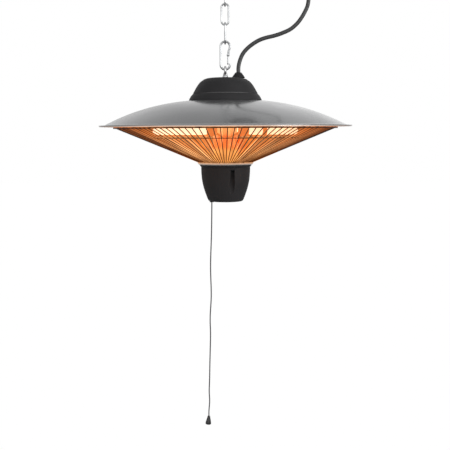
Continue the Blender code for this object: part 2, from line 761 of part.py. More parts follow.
def build_bracket():
    """A strap bent into an arch over the stem's flange, which the eye bolt holds up."""
    base, top, sheet = BRACKET_BASE, BRACKET_TOP, BRACKET_SHEET
    out, inner, foot = BRACKET_HALF_SPAN, BRACKET_HALF_SPAN - sheet, BRACKET_HALF_SPAN + BRACKET_FOOT
    right = [(inner, top - sheet), (inner, base), (foot, base)]
    right += [(foot, base + sheet), (out, base + sheet), (out, top)]
    left = [(-y, z) for y, z in reversed(right)]
    mesh = plate(right + left, -BRACKET_WIDTH / 2, BRACKET_WIDTH / 2, "YZ")
    obj = add_piece("hanger_bracket", mesh, "heater_tilt", "zinc")
    cut(obj, rod(BOLT_RADIUS + GAP, top - sheet - CUT_OVERRUN, top + CUT_OVERRUN, PIN_SIDES))


def build_top_cap():
    outer = scaled_outline(reversed(CAP_OUTLINE_SHARES), CAP_RADIUS, CAP_BASE, CAP_TOP)
    ceiling = CAP_TOP - CAP_WALL
    inner = scaled_outline(CAP_INSIDE_SHARES, CAP_RADIUS, CAP_BASE, ceiling + CAP_WALL)
    last = inner[-1][0] - CAP_WALL
    outline = [(0, CAP_TOP)] + outer + inner + [(last, ceiling), (0, ceiling)]
    obj = add_piece("top_cap", turned(outline, BODY_SIDES), "heater_tilt", "black_plastic")
    low, high = ceiling - CUT_OVERRUN, CAP_TOP + CUT_OVERRUN
    cut(obj, rod(BOLT_RADIUS + GAP, low, high, PIN_SIDES))
    cut(obj, rod(GLAND_THREAD_RADIUS + GAP, low, high, SMALL_SIDES, (GLAND_X, 0)))


def build_gland():
    outline = [
        (0, GLAND_TOP),
        (GLAND_TOP_RADIUS, GLAND_TOP),
        (GLAND_BASE_RADIUS, GLAND_BOTTOM + GLAND_LIP),
        (GLAND_BASE_RADIUS, GLAND_BOTTOM),
        (GLAND_THREAD_RADIUS, GLAND_BOTTOM),
        (GLAND_THREAD_RADIUS, GLAND_BOTTOM - GLAND_THREAD_LENGTH),
        (0, GLAND_BOTTOM - GLAND_THREAD_LENGTH),
    ]
    add_piece("cord_gland", turned(outline, SMALL_SIDES), "heater_tilt", "black_plastic", (GLAND_X, 0, 0))


def build_terminal_block():
    across, deep, tall = BLOCK_SIZE
    low = (BLOCK_X - across / 2, -deep / 2, BRACKET_BASE)
    high = (BLOCK_X + across / 2, deep / 2, BRACKET_BASE + tall)
    add_piece("terminal_block", box(low, high), "heater_tilt", "white_plastic")


def build_shade():
    half, middle = SHADE_SHEET / 2, SHADE_RADIUS - RIM_BEAD_RADIUS
    tilt = math.asin(half / RIM_BEAD_RADIUS)
    radii = [SHADE_HOLE] + [DOME_RADIUS * share for share in DOME_OUTER_SHARES]
    outer = [(radius, dome_height(radius)) for radius in radii]
    bead = arc((middle, 0), RIM_BEAD_RADIUS, math.pi - tilt, tilt - math.pi, 4)
    radii = [DOME_RADIUS * share for share in DOME_INNER_SHARES] + [SHADE_HOLE]
    inner = [(radius, dome_height(radius) - SHADE_SHEET) for radius in radii]
    add_piece("shade", turned(outer + bead + inner, LARGE_SIDES), "heater_tilt", "shade_paint")


def build_reflector():
    flange = DOME_RADIUS - REFLECTOR_INSET
    edge = flange - REFLECTOR_FLANGE
    dish = [(SHADE_HOLE, REFLECTOR_TOP + REFLECTOR_RISE)]
    dish += [(edge * across, REFLECTOR_TOP + REFLECTOR_RISE * up) for across, up in REFLECTOR_SHARES]
    top = dish + [(flange, REFLECTOR_TOP)]
    bottom = [(radius, height - REFLECTOR_SHEET) for radius, height in reversed(top)]
    add_piece("reflector", turned(top + bottom, SHELL_SIDES), "heater_tilt", "aluminium")


def build_stem():
    tube_outline = [
        (STEM_RADIUS - STEM_WALL, FLANGE_TOP),
        (STEM_FLANGE_RADIUS, FLANGE_TOP),
        (STEM_FLANGE_RADIUS, FLANGE_BOTTOM),
        (STEM_RADIUS, FLANGE_BOTTOM),
        (STEM_RADIUS, STEM_BOTTOM),
        (STEM_RADIUS - STEM_WALL, STEM_BOTTOM),
    ]
    add_piece("stem_tube", turned(tube_outline, BODY_SIDES), "heater_tilt", "grille_steel")
    foot = washer(STEM_FOOT_HOLE, STEM_FOOT_RADIUS, STEM_FOOT_BOTTOM, STEM_FOOT_BOTTOM + STEM_FOOT_SHEET)
    add_piece("stem_foot", turned(foot, BODY_SIDES), "heater_tilt", "grille_steel")


def washer(hole, radius, bottom, top):
    return [(hole, top), (radius, top), (radius, bottom), (hole, bottom)]


def build_base_plate():
    outline = washer(BASE_PLATE_HOLE, INNER_RING_RADIUS - GAP, BASE_PLATE_BOTTOM, BASE_PLATE_TOP)
    obj = add_piece("base_plate", turned(outline, BODY_SIDES), "heater_tilt", "grille_steel")
    for angle in housing_screw_angles():
        x, y, _ = at_angle(HOUSING_SCREW_CIRCLE, angle)
        low, high = BASE_PLATE_BOTTOM - CUT_OVERRUN, BASE_PLATE_TOP + CUT_OVERRUN
        cut(obj, rod(HOUSING_SCREW_RADIUS + GAP, low, high, PIN_SIDES, (x, y)))


def housing_screw_angles():
    apart = math.tau / HOUSING_SCREW_COUNT
    return [HOUSING_SCREW_ANGLE + apart * step for step in range(HOUSING_SCREW_COUNT)]


def build_collar():
    bottom = COLLAR_TOP - COLLAR_HEIGHT
    outline = [
        (COLLAR_HOLE, COLLAR_TOP),
        (COLLAR_RADIUS, COLLAR_TOP),
        (COLLAR_RADIUS - COLLAR_TAPER, bottom),
        (COLLAR_HOLE, bottom),
    ]
    add_piece("collar_ring", turned(outline, SHELL_SIDES), "heater_tilt", "chrome")


def build_lower_housing():
    """The cup, with a boss inside round each of its three screw wells."""
    outer = scaled_outline(reversed(CUP_OUTLINE_SHARES), CUP_RADIUS, CUP_TOP, CUP_BOTTOM)
    mesh = turned(outer + [(0, CUP_TOP)], BODY_SIDES)
    obj = add_piece("lower_housing", mesh, "heater_tilt", "black_plastic")
    cavity = cup_cavity(obj)
    modifier = obj.modifiers.new("Cavity", "BOOLEAN")
    modifier.operation = "DIFFERENCE"
    modifier.solver = "EXACT"
    modifier.object = cavity
    for angle in housing_screw_angles():
        x, y, _ = at_angle(HOUSING_SCREW_CIRCLE, angle)
        cut(obj, rod(ACCESS_RADIUS, CUP_BOTTOM - CUT_OVERRUN, ACCESS_TOP, SMALL_SIDES, (x, y)))
        high = CUP_TOP + CUT_OVERRUN
        cut(obj, rod(HOUSING_SCREW_RADIUS + GAP, ACCESS_TOP - CUT_OVERRUN, high, PIN_SIDES, (x, y)))
    low, high = CUP_BOTTOM - CUT_OVERRUN, CUP_BOTTOM + CUP_WALL + CUP_WALL + CUT_OVERRUN
    cut(obj, rod(BUSH_RADIUS + GAP, low, high, SMALL_SIDES, (PULL_X, 0)))


def cup_cavity(obj):
    """The hollow of the cup, less a boss round each screw well."""
    floor = CUP_BOTTOM + CUP_WALL + CUP_WALL
    inner = scaled_outline(CUP_INSIDE_SHARES, CUP_RADIUS, CUP_TOP, CUP_BOTTOM)
    inner = [(radius - CUP_WALL, height) for radius, height in inner]
    mouth = (inner[0][0], CUP_TOP + CUT_OVERRUN)
    last = (inner[-1][0] - CUP_WALL, floor)
    outline = [(0, mouth[1]), mouth] + inner + [last, (0, floor)]
    cavity = add_helper("cup_cavity", turned(outline, BODY_SIDES), obj)
    for angle in housing_screw_angles():
        x, y, _ = at_angle(HOUSING_SCREW_CIRCLE, angle)
        low, high = CUP_BOTTOM - CUT_OVERRUN, mouth[1] + CUT_OVERRUN
        cut(cavity, rod(ACCESS_RADIUS + BOSS_WALL, low, high, SMALL_SIDES, (x, y)))
    return cavity


def build_housing_screws():
    """Screws that pull the cup up against the base plate, each with its head in a well."""
    head_top = ACCESS_TOP - GAP
    tip = BASE_PLATE_TOP - GAP
    outline = [
        (0, tip),
        (HOUSING_SCREW_RADIUS, tip),
        (HOUSING_SCREW_RADIUS, head_top),
        (SCREW_HEAD_RADIUS, head_top),
        (SCREW_HEAD_RADIUS, head_top - SCREW_HEAD_HEIGHT),
        (0, head_top - SCREW_HEAD_HEIGHT),
    ]
    for number, angle in enumerate(housing_screw_angles(), 1):
        at = at_angle(HOUSING_SCREW_CIRCLE, angle)
        add_piece(f"housing_screw_{number}", turned(outline, PIN_SIDES), "heater_tilt", "black_steel", at)


def grille_underside(radius):
    """Height of the grille's lower face: a cone from its inner ring up to its flat outer ring."""
    outer = GRILLE_RADIUS - OUTER_RING_WIDTH
    rise = GRILLE_TOP - OUTER_RING_HEIGHT + GRILLE_DEPTH
    part = (radius - INNER_RING_RADIUS) / (outer - INNER_RING_RADIUS)
    return -GRILLE_DEPTH + rise * min(part, 1)


def grille_thickness(radius):
    outer = GRILLE_RADIUS - OUTER_RING_WIDTH
    part = (radius - INNER_RING_RADIUS) / (outer - INNER_RING_RADIUS)
    return WIRE + (OUTER_RING_HEIGHT - WIRE) * min(part, 1)


def grille_row(bm, radius):
    """Lower and upper corners of every wire at one radius, two a wire, going round."""
    half = math.asin(WIRE / 2 / radius)
    low, high = [], []
    for wire in range(WIRE_COUNT):
        middle = -math.pi / 2 + WIRE_OFFSET_ANGLE + math.tau * wire / WIRE_COUNT
        for angle in (middle - half, middle + half):
            height = grille_underside(radius)
            low.append(bm.verts.new(at_angle(radius, angle, height)))
            high.append(bm.verts.new(at_angle(radius, angle, height + grille_thickness(radius))))
    return low, high


def ring_row(bm, radius):
    """Lower and upper corners of a ring's plain edge, fewer than the wires need."""
    count = WIRE_COUNT // WIRES_A_FACET
    low, high = [], []
    for corner in range(count):
        step = math.tau * WIRES_A_FACET / WIRE_COUNT
        angle = -math.pi / 2 + WIRE_OFFSET_ANGLE - step / WIRES_A_FACET / 2 + step * corner
        height = grille_underside(radius)
        low.append(bm.verts.new(at_angle(radius, angle, height)))
        high.append(bm.verts.new(at_angle(radius, angle, height + grille_thickness(radius))))
    return low, high


def fill_ring(bm, edge, wires):
    """Top, bottom and both sides of a ring between its plain edge and the wires' ends."""
    corners = 2 * WIRES_A_FACET
    count = len(edge[0])
    for level in (0, 1):
        for facet in range(count):
            following = (facet + 1) % count
            ends = [wires[level][(facet * corners + step) % len(wires[level])] for step in range(-1, corners)]
            bm.faces.new([edge[level][facet], edge[level][following]] + list(reversed(ends)))
    for facet in range(count):
        following = (facet + 1) % count
        bm.faces.new([edge[0][facet], edge[0][following], edge[1][following], edge[1][facet]])


def fill_gaps(bm, wires):
    """The side that a ring shows between two wires."""
    count = len(wires[0])
    for index in range(1, count, 2):
        following = (index + 1) % count
        bm.faces.new([wires[0][index], wires[0][following], wires[1][following], wires[1][index]])


def build_wire_grille():
    """Radial wires between an inner and an outer ring, as one welded guard."""
    bm = bmesh.new()
    outer_edge = ring_row(bm, GRILLE_RADIUS)
    outer = grille_row(bm, GRILLE_RADIUS - OUTER_RING_WIDTH)
    inner = grille_row(bm, INNER_RING_RADIUS + INNER_RING_WIDTH)
    inner_edge = ring_row(bm, INNER_RING_RADIUS)
    fill_ring(bm, outer_edge, outer)
    fill_ring(bm, inner_edge, inner)
    fill_gaps(bm, outer)
    fill_gaps(bm, inner)
    for left in range(0, len(outer[0]), 2):
        right = left + 1
        for level in (0, 1):
            bm.faces.new([outer[level][left], outer[level][right], inner[level][right], inner[level][left]])
        for side in (left, right):
            bm.faces.new([outer[0][side], outer[1][side], inner[1][side], inner[0][side]])
    bmesh.ops.triangulate(bm, faces=bm.faces)
    add_piece("wire_grille", finished_mesh(bm), "heater_tilt", "grille_steel")


def build_grille_hoop():
    """The ring of wire that lies on the radial wires and keeps them apart."""
    low = grille_underside(HOOP_RADIUS + WIRE) + grille_thickness(HOOP_RADIUS) + GAP
    outline = washer(HOOP_RADIUS - WIRE / 2, HOOP_RADIUS + WIRE / 2, low, low + WIRE)
    add_piece("grille_hoop", turned(outline, SHELL_SIDES), "heater_tilt", "grille_steel")


def ring_sweep(section, start, end, steps):
    """An outline of (radius, height) points swept round Z between two angles, with flat ends."""
    bm = bmesh.new()
    first = [bm.verts.new((radius, 0, height)) for radius, height in section]
    face = bm.faces.new(first)
    bmesh.ops.rotate(bm, verts=bm.verts, cent=(0, 0, 0), matrix=Matrix.Rotation(start, 3, "Z"))
    bmesh.ops.spin(bm, geom=[face], cent=(0, 0, 0), axis=(0, 0, 1), angle=end - start, steps=steps)
    return finished_mesh(bm)


def tube_section(radius, sides):
    return arc((TUBE_MIDDLE_RADIUS, TUBE_HEIGHT), radius, 0, math.tau, sides)[:-1]


def build_heating_tube():
    """An open ring of quartz glass with the filament lying in it."""
    bm = bmesh.new()
    rows = []
    for step in range(TUBE_STEPS + 1):
        angle = TUBE_START + (TUBE_END - TUBE_START) * step / TUBE_STEPS
        shells = [tube_section(radius, TUBE_SIDES) for radius in (TUBE_RADIUS, TUBE_RADIUS - TUBE_WALL)]
        rows.append([[bm.verts.new(at_angle(r, angle, z)) for r, z in shell] for shell in shells])
    for before, after in zip(rows, rows[1:]):
        for shell in (0, 1):
            join_rounds(bm, before[shell], after[shell])
    join_rounds(bm, rows[0][0], rows[0][1])
    join_rounds(bm, rows[-1][0], rows[-1][1])
    add_piece("heating_tube", finished_mesh(bm), "heater_tilt", "quartz")
    section = tube_section(FILAMENT_RADIUS, FILAMENT_SIDES)
    mesh = ring_sweep(section, TUBE_START, TUBE_END, TUBE_STEPS)
    add_piece("filament", mesh, "heater_tilt", "tungsten")


def join_rounds(bm, first, second):
    """Faces between two rounds of corners."""
    count = len(first)
    for index in range(count):
        following = (index + 1) % count
        bm.faces.new([first[index], first[following], second[following], second[index]])


def build_ceramic_ends():
    """A ceramic cap at each end of the tube, along the ring, and the lead from it to the stem."""
    reach = CERAMIC_LENGTH / TUBE_MIDDLE_RADIUS
    gap = GAP / TUBE_MIDDLE_RADIUS
    spans = ((TUBE_START - gap - reach, TUBE_START - gap), (TUBE_END + gap, TUBE_END + gap + reach))
    for number, (start, end) in enumerate(spans, 1):
        section = tube_section(CERAMIC_RADIUS, PIN_SIDES)
        add_piece(f"ceramic_end_{number}", ring_sweep(section, start, end, 2), "heater_tilt", "ceramic")
        middle = (start + end) / 2
        outside = TUBE_MIDDLE_RADIUS - CERAMIC_RADIUS - GAP
        inside = STEM_RADIUS + GAP
        bend = (outside + inside) / 2
        route = (
            at_angle(outside, middle, TUBE_HEIGHT),
            at_angle(bend, middle, TUBE_HEIGHT - LEAD_DROP / 2),
            at_angle(inside, middle, TUBE_HEIGHT - LEAD_DROP),
        )
        data = tube(smooth_points(route, CERAMIC_LENGTH), LEAD_RADIUS, WIRE_BEVEL_STEPS)
        add_piece(f"lead_sleeve_{number}", data, "heater_tilt", "ceramic")


def build_spider():
    """A hub round the stem with three arms that reach out over the tube."""
    low, high = ARM_HEIGHT, ARM_HEIGHT + ARM_SHEET
    mesh = turned(washer(STEM_RADIUS + GAP, HUB_RADIUS, low, high), BODY_SIDES)
    obj = add_piece("element_spider", mesh, "heater_tilt", "grille_steel")
    start = (STEM_RADIUS + HUB_RADIUS) / 2
    end = TUBE_MIDDLE_RADIUS + ARM_WIDTH
    for angle in ARM_ANGLES:
        arm = box((start, -ARM_WIDTH / 2, low), (end, ARM_WIDTH / 2, high))
        arm.transform(Matrix.Rotation(angle, 4, "Z"))
        fuse(obj, arm)


def build_tube_clips():
    """Open clips that grip the tube and hang from the arms."""
    inner = TUBE_RADIUS + CLIP_FIT
    outer = inner + CLIP_SHEET
    start, end = -math.pi / 2 + CLIP_OPENING / 2, math.pi * 1.5 - CLIP_OPENING / 2
    half = CLIP_FOOT_WIDTH / 2
    spread = math.asin(half / outer)
    centre = (TUBE_MIDDLE_RADIUS, TUBE_HEIGHT)
    top = ARM_HEIGHT - GAP
    outline = arc(centre, outer, start, math.pi / 2 - spread, 5)
    outline += [(centre[0] + half, top), (centre[0] - half, top)]
    outline += arc(centre, outer, math.pi / 2 + spread, end, 5)
    outline += arc(centre, inner, end, start, PIN_SIDES)
    for number, angle in enumerate(ARM_ANGLES, 1):
        mesh = plate(outline, -CLIP_WIDTH / 2, CLIP_WIDTH / 2, "XZ")
        mesh.transform(Matrix.Rotation(angle, 4, "Z"))
        add_piece(f"tube_clip_{number}", mesh, "heater_tilt", "grille_steel")


def build_switch_body():
    """The switch under the base plate, with the pins that its lever and rotor turn on."""
    top = BASE_PLATE_BOTTOM - GAP
    across, deep, tall = SWITCH_SIZE
    low = (SWITCH_LEFT, SWITCH_FACE, top - tall)
    high = (SWITCH_LEFT + across, SWITCH_FACE + deep, top)
    obj = add_piece("switch_body", box(low, high), "heater_tilt", "white_plastic")
    into = SWITCH_FACE + CUT_OVERRUN
    fuse(obj, rod_along_y(PIVOT_RADIUS, -LEVER_HALF_WIDTH, into, PIN_SIDES, (PIVOT_X, PIVOT_HEIGHT)))
    front = SWITCH_FACE - GAP - ROTOR_THICKNESS
    fuse(obj, rod_along_y(PIVOT_RADIUS, front, into, PIN_SIDES, (ROTOR_X, ROTOR_HEIGHT)))


def build_switch_lever():
    """An arm on the lower pin whose forked end straddles the pull cord."""
    wide, tall = LEVER_HALF_WIDTH, LEVER_HALF_HEIGHT
    back = PIVOT_X + LEVER_HALF_HEIGHT
    tip = PULL_X - LEVER_END
    root = PULL_X + FORK_REACH
    slot = FORK_HALF_GAP
    outline = [
        (tip, -wide),
        (back, -wide),
        (back, wide),
        (tip, wide),
        (tip, slot),
        (root, slot),
        (root, -slot),
        (tip, -slot),
    ]
    mesh = plate(outline, PIVOT_HEIGHT - tall, PIVOT_HEIGHT + tall)
    obj = add_piece("switch_lever", mesh, "lever_hinge", "white_plastic")
    half = wide + CUT_OVERRUN
    cut(obj, rod_along_y(PIVOT_RADIUS + PIVOT_FIT, -half, half, PIN_SIDES, (PIVOT_X, PIVOT_HEIGHT)))


def build_switch_rotor():
    """The ratchet wheel that steps the switch round."""
    outline = []
    for tooth in range(ROTOR_TEETH):
        angle = math.tau * tooth / ROTOR_TEETH
        step = math.tau / ROTOR_TEETH
        tip = at_angle(ROTOR_RADIUS, angle)
        root = at_angle(ROTOR_RADIUS - ROTOR_TOOTH, angle + step * ROTOR_TOOTH_SHARE)
        outline += [(ROTOR_X + tip.x, ROTOR_HEIGHT + tip.y), (ROTOR_X + root.x, ROTOR_HEIGHT + root.y)]
    back = SWITCH_FACE - GAP
    mesh = plate(outline, back - ROTOR_THICKNESS, back, "XZ")
    obj = add_piece("switch_rotor", mesh, "rotor_hinge", "white_plastic")
    front = back - ROTOR_THICKNESS - CUT_OVERRUN
    centre = (ROTOR_X, ROTOR_HEIGHT)
    cut(obj, rod_along_y(PIVOT_RADIUS + PIVOT_FIT, front, back + CUT_OVERRUN, PIN_SIDES, centre))


def build_pull_cord():
    top = FERRULE_BOTTOM - GAP
    route = [(PULL_X, 0, top)] + list(PULL_CORD_ROUTE)
    data = tube(smooth_points(route, PULL_CORD_SPACING), PULL_CORD_RADIUS, CORD_BEVEL_STEPS)
    add_piece("pull_cord", data, "pull_slide", "black_rubber")
    ferrule = rod(FERRULE_RADIUS, FERRULE_BOTTOM, FERRULE_BOTTOM + FERRULE_HEIGHT, PIN_SIDES)
    add_piece("cord_ferrule", ferrule, "pull_slide", "zinc", (PULL_X, 0, 0))
    spring_low = FERRULE_BOTTOM + FERRULE_HEIGHT + GAP
    spring = rod(SPRING_RADIUS, spring_low, BASE_PLATE_BOTTOM - GAP, PIN_SIDES)
    add_piece("return_spring", spring, "heater_tilt", "zinc", (PULL_X, 0, 0))
    outline = scaled_outline(BEAD_OUTLINE_SHARES, BEAD_RADIUS, BEAD_TOP, BEAD_TOP - BEAD_HEIGHT)
    bead = turned(outline, SMALL_SIDES)
    add_piece("pull_bead", bead, "pull_slide", "black_plastic", (PULL_CORD_ROUTE[-1][0], 0, 0))


def build_pull_bush():
    """A flanged sleeve in the cup's floor that the pull cord runs through."""
    flange_top = bush_seat() - GAP
    outline = [
        (BUSH_BORE, flange_top + BUSH_RISE),
        (BUSH_RADIUS, flange_top + BUSH_RISE),
        (BUSH_RADIUS, flange_top),
        (BUSH_FLANGE_RADIUS, flange_top),
        (BUSH_FLANGE_RADIUS, flange_top - BUSH_FLANGE_SHEET),
        (BUSH_BORE, flange_top - BUSH_FLANGE_SHEET),
    ]
    add_piece("pull_cord_bush", turned(outline, SMALL_SIDES), "heater_tilt", "black_plastic", (PULL_X, 0, 0))


def bush_seat():
    """Height of the cup's floor at the lowest corner of the bush's flange."""
    reach = (-PULL_X - BUSH_FLANGE_RADIUS) / CUP_RADIUS
    (near, near_drop), (far, far_drop) = CUP_OUTLINE_SHARES[-1], CUP_OUTLINE_SHARES[-2]
    drop = near_drop + (far_drop - near_drop) * (reach - near) / (far - near)
    return CUP_TOP - CUP_HEIGHT * drop


def coil_direction(angle):
    """Unit vector along the cord where its turns pass this angle."""
    return Vector((-math.sin(angle), 0, math.cos(angle)))


def coil_point(turn):
    """The coil's centre line after this many turns: in and out at a steady rate, layer by layer."""
    angle = COIL_START + math.tau * turn
    reached = turn / COIL_LAYER_TURNS
    radius = COIL_INNER + (COIL_OUTER - COIL_INNER) * abs(1 - reached % 2)
    climbed = 0
    for layer in range(1, COIL_LAYERS):
        start = layer * COIL_LAYER_TURNS - COIL_CLIMB_SHARE / 2
        climbed += min(max((turn - start) / COIL_CLIMB_SHARE, 0), 1)
    depth = COIL_HALF_DEPTH - COIL_STEP * climbed
    return Vector((COIL_X + radius * math.cos(angle), depth, COIL_HEIGHT + radius * math.sin(angle)))


def coil_points():
    """The coil's points with a straight end of one cord diameter at each side."""
    count = round(COIL_TURNS * COIL_POINTS_A_TURN)
    turns = [coil_point(COIL_TURNS * step / count) for step in range(count + 1)]
    straight = 2 * CORD_RADIUS
    first = turns[0] - coil_direction(COIL_START) * straight
    last = turns[-1] + coil_direction(COIL_END) * straight
    return [first] + turns + [last]


def least_self_gap(points, radius, apart):
    """The narrowest space between stretches of a tube that lie this many points apart."""
    gaps = []
    for index, point in enumerate(points):
        gaps += [(point - other).length for other in points[index + apart:]]
    return min(gaps) - 2 * radius


def build_power_cord():
    points = coil_points()
    gap = least_self_gap(points, CORD_RADIUS, COIL_POINTS_A_TURN // 2)
    print(f"power_cord_coil: least gap to itself {gap * 1000:.2f} mm")
    data = tube(points, CORD_RADIUS, WIRE_BEVEL_STEPS)
    add_piece("power_cord_coil", data, "chain_swing", "black_rubber")
    start = Vector((GLAND_X, 0, GLAND_TOP + GAP))
    along = coil_direction(COIL_START)
    end = points[0] - along * GAP
    route = [start] + list(POWER_CORD_ROUTE) + [end - along * CORD_SPACING]
    data = tube(smooth_points(route, CORD_SPACING) + [end], CORD_RADIUS, CORD_BEVEL_STEPS)
    add_piece("power_cord", data, "heater_tilt", "black_rubber")


def build_plug():
    """A two-pin plug on the short tail that comes out of the coil."""
    along = coil_direction(COIL_END)
    tail_start = coil_points()[-1] + along * GAP
    tail_end = tail_start + along * TAIL_LENGTH
    data = tube([tail_start, (tail_start + tail_end) / 2, tail_end], CORD_RADIUS, CORD_BEVEL_STEPS)
    add_piece("power_cord_tail", data, "chain_swing", "black_rubber")
    lay = Matrix.Rotation(math.atan2(along.x, along.z), 4, "Y")
    body_start = tail_end + along * GAP
    outline = scaled_outline(reversed(PLUG_OUTLINE_SHARES), PLUG_RADIUS, 0, PLUG_LENGTH)
    body = turned(outline, SMALL_SIDES)
    body.transform(lay)
    add_piece("plug_body", body, "chain_swing", "black_rubber", body_start)
    low, high = PLUG_LENGTH + GAP, PLUG_LENGTH + GAP + PLUG_PIN_LENGTH
    for number, side in enumerate((-1, 1), 1):
        pin = rod(PLUG_PIN_RADIUS, low, high, PIN_SIDES, (0, side * PLUG_PIN_SPACING / 2))
        pin.transform(lay)
        add_piece(f"plug_pin_{number}", pin, "chain_swing", "zinc", body_start)


def tie_outline(clear):
    """The strap's path round a link's two legs and the near side of the coil."""
    left = -LINK_WIRE / 2 - clear
    waist = LINK_WIDTH / 2 + clear
    half = COIL_HALF_DEPTH + CORD_RADIUS + clear
    edge = TIE_RISE + TIE_HEIGHT / 2
    right = COIL_X - math.sqrt((COIL_INNER - CORD_RADIUS) ** 2 - edge**2) + clear
    front = [(left, -waist), (TIE_WAIST, -half), (right, -half)]
    return front + [(right, half), (TIE_WAIST, half), (left, waist)]


def build_cord_tie():
    low = COIL_HEIGHT + TIE_RISE - TIE_HEIGHT / 2
    high = low + TIE_HEIGHT
    obj = add_piece("cord_tie", plate(tie_outline(GAP + TIE_SHEET), low, high), "chain_swing", "black_rubber")
    cut(obj, plate(tie_outline(GAP), low - CUT_OVERRUN, high + CUT_OVERRUN))


def main():
    clear_scene()
    add_axes()
    build_ceiling_plate()
    build_ceiling_hook()
    build_links()
    build_snap_hook()
    build_gate()
    build_eye_bolt()
    build_nut("eye_nut", EYE_NUT_BOTTOM)
    build_nut("lock_nut", LOCK_NUT_TOP - NUT_HEIGHT)
    build_bracket()
    build_top_cap()
    build_gland()
    build_terminal_block()
    build_shade()
    build_reflector()
    build_stem()
    build_base_plate()
    build_collar()
    build_lower_housing()
    build_housing_screws()
    build_wire_grille()
    build_grille_hoop()
    build_heating_tube()
    build_ceramic_ends()
    build_spider()
    build_tube_clips()
    build_switch_body()
    build_switch_lever()
    build_switch_rotor()
    build_pull_cord()
    build_pull_bush()
    build_power_cord()
    build_plug()
    build_cord_tie()


if __name__ == "__main__":
    main()
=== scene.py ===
"""A hanging patio heater, modelled piece by piece around its CAD part.

Each operator makes one piece, or one group of like pieces, in the object's own frame: metres, z up, the face
of the ceiling at height zero. The pieces' sizes are properties of the scene, and the operators read them
there. Heights that are given from the rim are measured from the middle of the shade's rolled edge.
"""
import json
import math

import bpy
from bpy.props import FloatProperty, FloatVectorProperty, IntProperty, PointerProperty
from mathutils import Matrix, Vector

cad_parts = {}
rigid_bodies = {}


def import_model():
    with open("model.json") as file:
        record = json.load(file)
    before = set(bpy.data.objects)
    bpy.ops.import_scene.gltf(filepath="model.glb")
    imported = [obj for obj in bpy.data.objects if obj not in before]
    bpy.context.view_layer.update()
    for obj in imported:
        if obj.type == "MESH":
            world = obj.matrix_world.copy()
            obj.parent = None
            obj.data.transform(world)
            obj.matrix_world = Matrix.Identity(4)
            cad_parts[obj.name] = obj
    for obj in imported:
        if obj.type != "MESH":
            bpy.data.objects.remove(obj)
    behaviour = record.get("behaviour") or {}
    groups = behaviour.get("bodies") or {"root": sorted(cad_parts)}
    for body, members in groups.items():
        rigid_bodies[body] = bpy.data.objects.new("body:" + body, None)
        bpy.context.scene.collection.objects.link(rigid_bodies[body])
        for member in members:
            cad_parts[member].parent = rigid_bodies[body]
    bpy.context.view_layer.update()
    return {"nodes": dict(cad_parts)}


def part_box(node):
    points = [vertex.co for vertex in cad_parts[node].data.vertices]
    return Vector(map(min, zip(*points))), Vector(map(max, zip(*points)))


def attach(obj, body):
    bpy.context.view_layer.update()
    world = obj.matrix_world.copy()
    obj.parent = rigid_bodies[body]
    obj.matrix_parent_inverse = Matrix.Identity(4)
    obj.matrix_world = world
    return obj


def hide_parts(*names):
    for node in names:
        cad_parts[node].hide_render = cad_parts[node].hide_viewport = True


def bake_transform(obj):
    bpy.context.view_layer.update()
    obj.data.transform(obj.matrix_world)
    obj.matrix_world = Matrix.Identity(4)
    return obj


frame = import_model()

bl_info = {
    "name": "Hanging Patio Heater",
    "version": (1, 0, 0),
    "blender": (4, 2, 0),
    "location": "3D Viewport > Sidebar > Heater",
    "description": "Models a ceiling-hung patio heater with its chain, mains lead and pull switch",
    "category": "Add Mesh",
}

# Height of the shade's rim under the ceiling's face
RIM = -0.36105
FULL = math.tau
# How far the guard's wires reach under the inner edges of its rings
WIRE_SEAT = 0.0004


# Kinds of property


def kind_of(make, **settings):
    """A function that declares a property from its name, description and default."""

    def declare(name, description, default):
        return make(name=name, description=description, default=default, **settings)

    return declare


length = kind_of(FloatProperty, unit="LENGTH", precision=5)
share = kind_of(FloatProperty, subtype="FACTOR")
power = kind_of(FloatProperty, unit="POWER")
amount = kind_of(FloatProperty)
number = kind_of(IntProperty, min=1)
place = kind_of(FloatVectorProperty, subtype="XYZ", unit="LENGTH", precision=5)


def turn(name, description, degrees):
    return kind_of(FloatProperty, unit="ROTATION")(name, description, math.radians(degrees))


# Steps of modelling


def pick(*objects):
    """Only these objects are selected, and the last of them is active."""
    bpy.ops.object.select_all(action="DESELECT")
    for obj in objects:
        obj.select_set(True)
    bpy.context.view_layer.objects.active = objects[-1] if objects else None
    return bpy.context.view_layer.objects.active


def named(name):
    """The active object under this name, its mesh too."""
    obj = bpy.context.object
    obj.name = obj.data.name = name
    return obj


def edit(obj):
    """The object's whole mesh, selected in edit mode."""
    pick(obj)
    bpy.ops.object.mode_set(mode="EDIT")
    bpy.ops.mesh.select_all(action="SELECT")


def clean(distance=0.000002):
    """Doubles of the mesh in edit mode are merged and its faces turned outwards."""
    bpy.ops.mesh.select_all(action="SELECT")
    bpy.ops.mesh.remove_doubles(threshold=distance)
    bpy.ops.mesh.normals_make_consistent(inside=False)
    bpy.ops.object.mode_set(mode="OBJECT")


def smooth(obj, degrees):
    pick(obj)
    bpy.ops.object.shade_smooth_by_angle(angle=math.radians(degrees))
    return obj


def draw_line(points):
    """One vertex of a new mesh, extruded from point to point; edit mode stays on, with all selected."""
    pick()
    bpy.ops.mesh.primitive_plane_add(size=0.01)
    bpy.ops.object.mode_set(mode="EDIT")
    bpy.ops.mesh.merge(type="CENTER")
    bpy.ops.transform.translate(value=points[0])
    for before, after in zip(points, points[1:]):
        bpy.ops.mesh.extrude_region_move(TRANSFORM_OT_translate={"value": after - before})
    bpy.ops.mesh.select_all(action="SELECT")


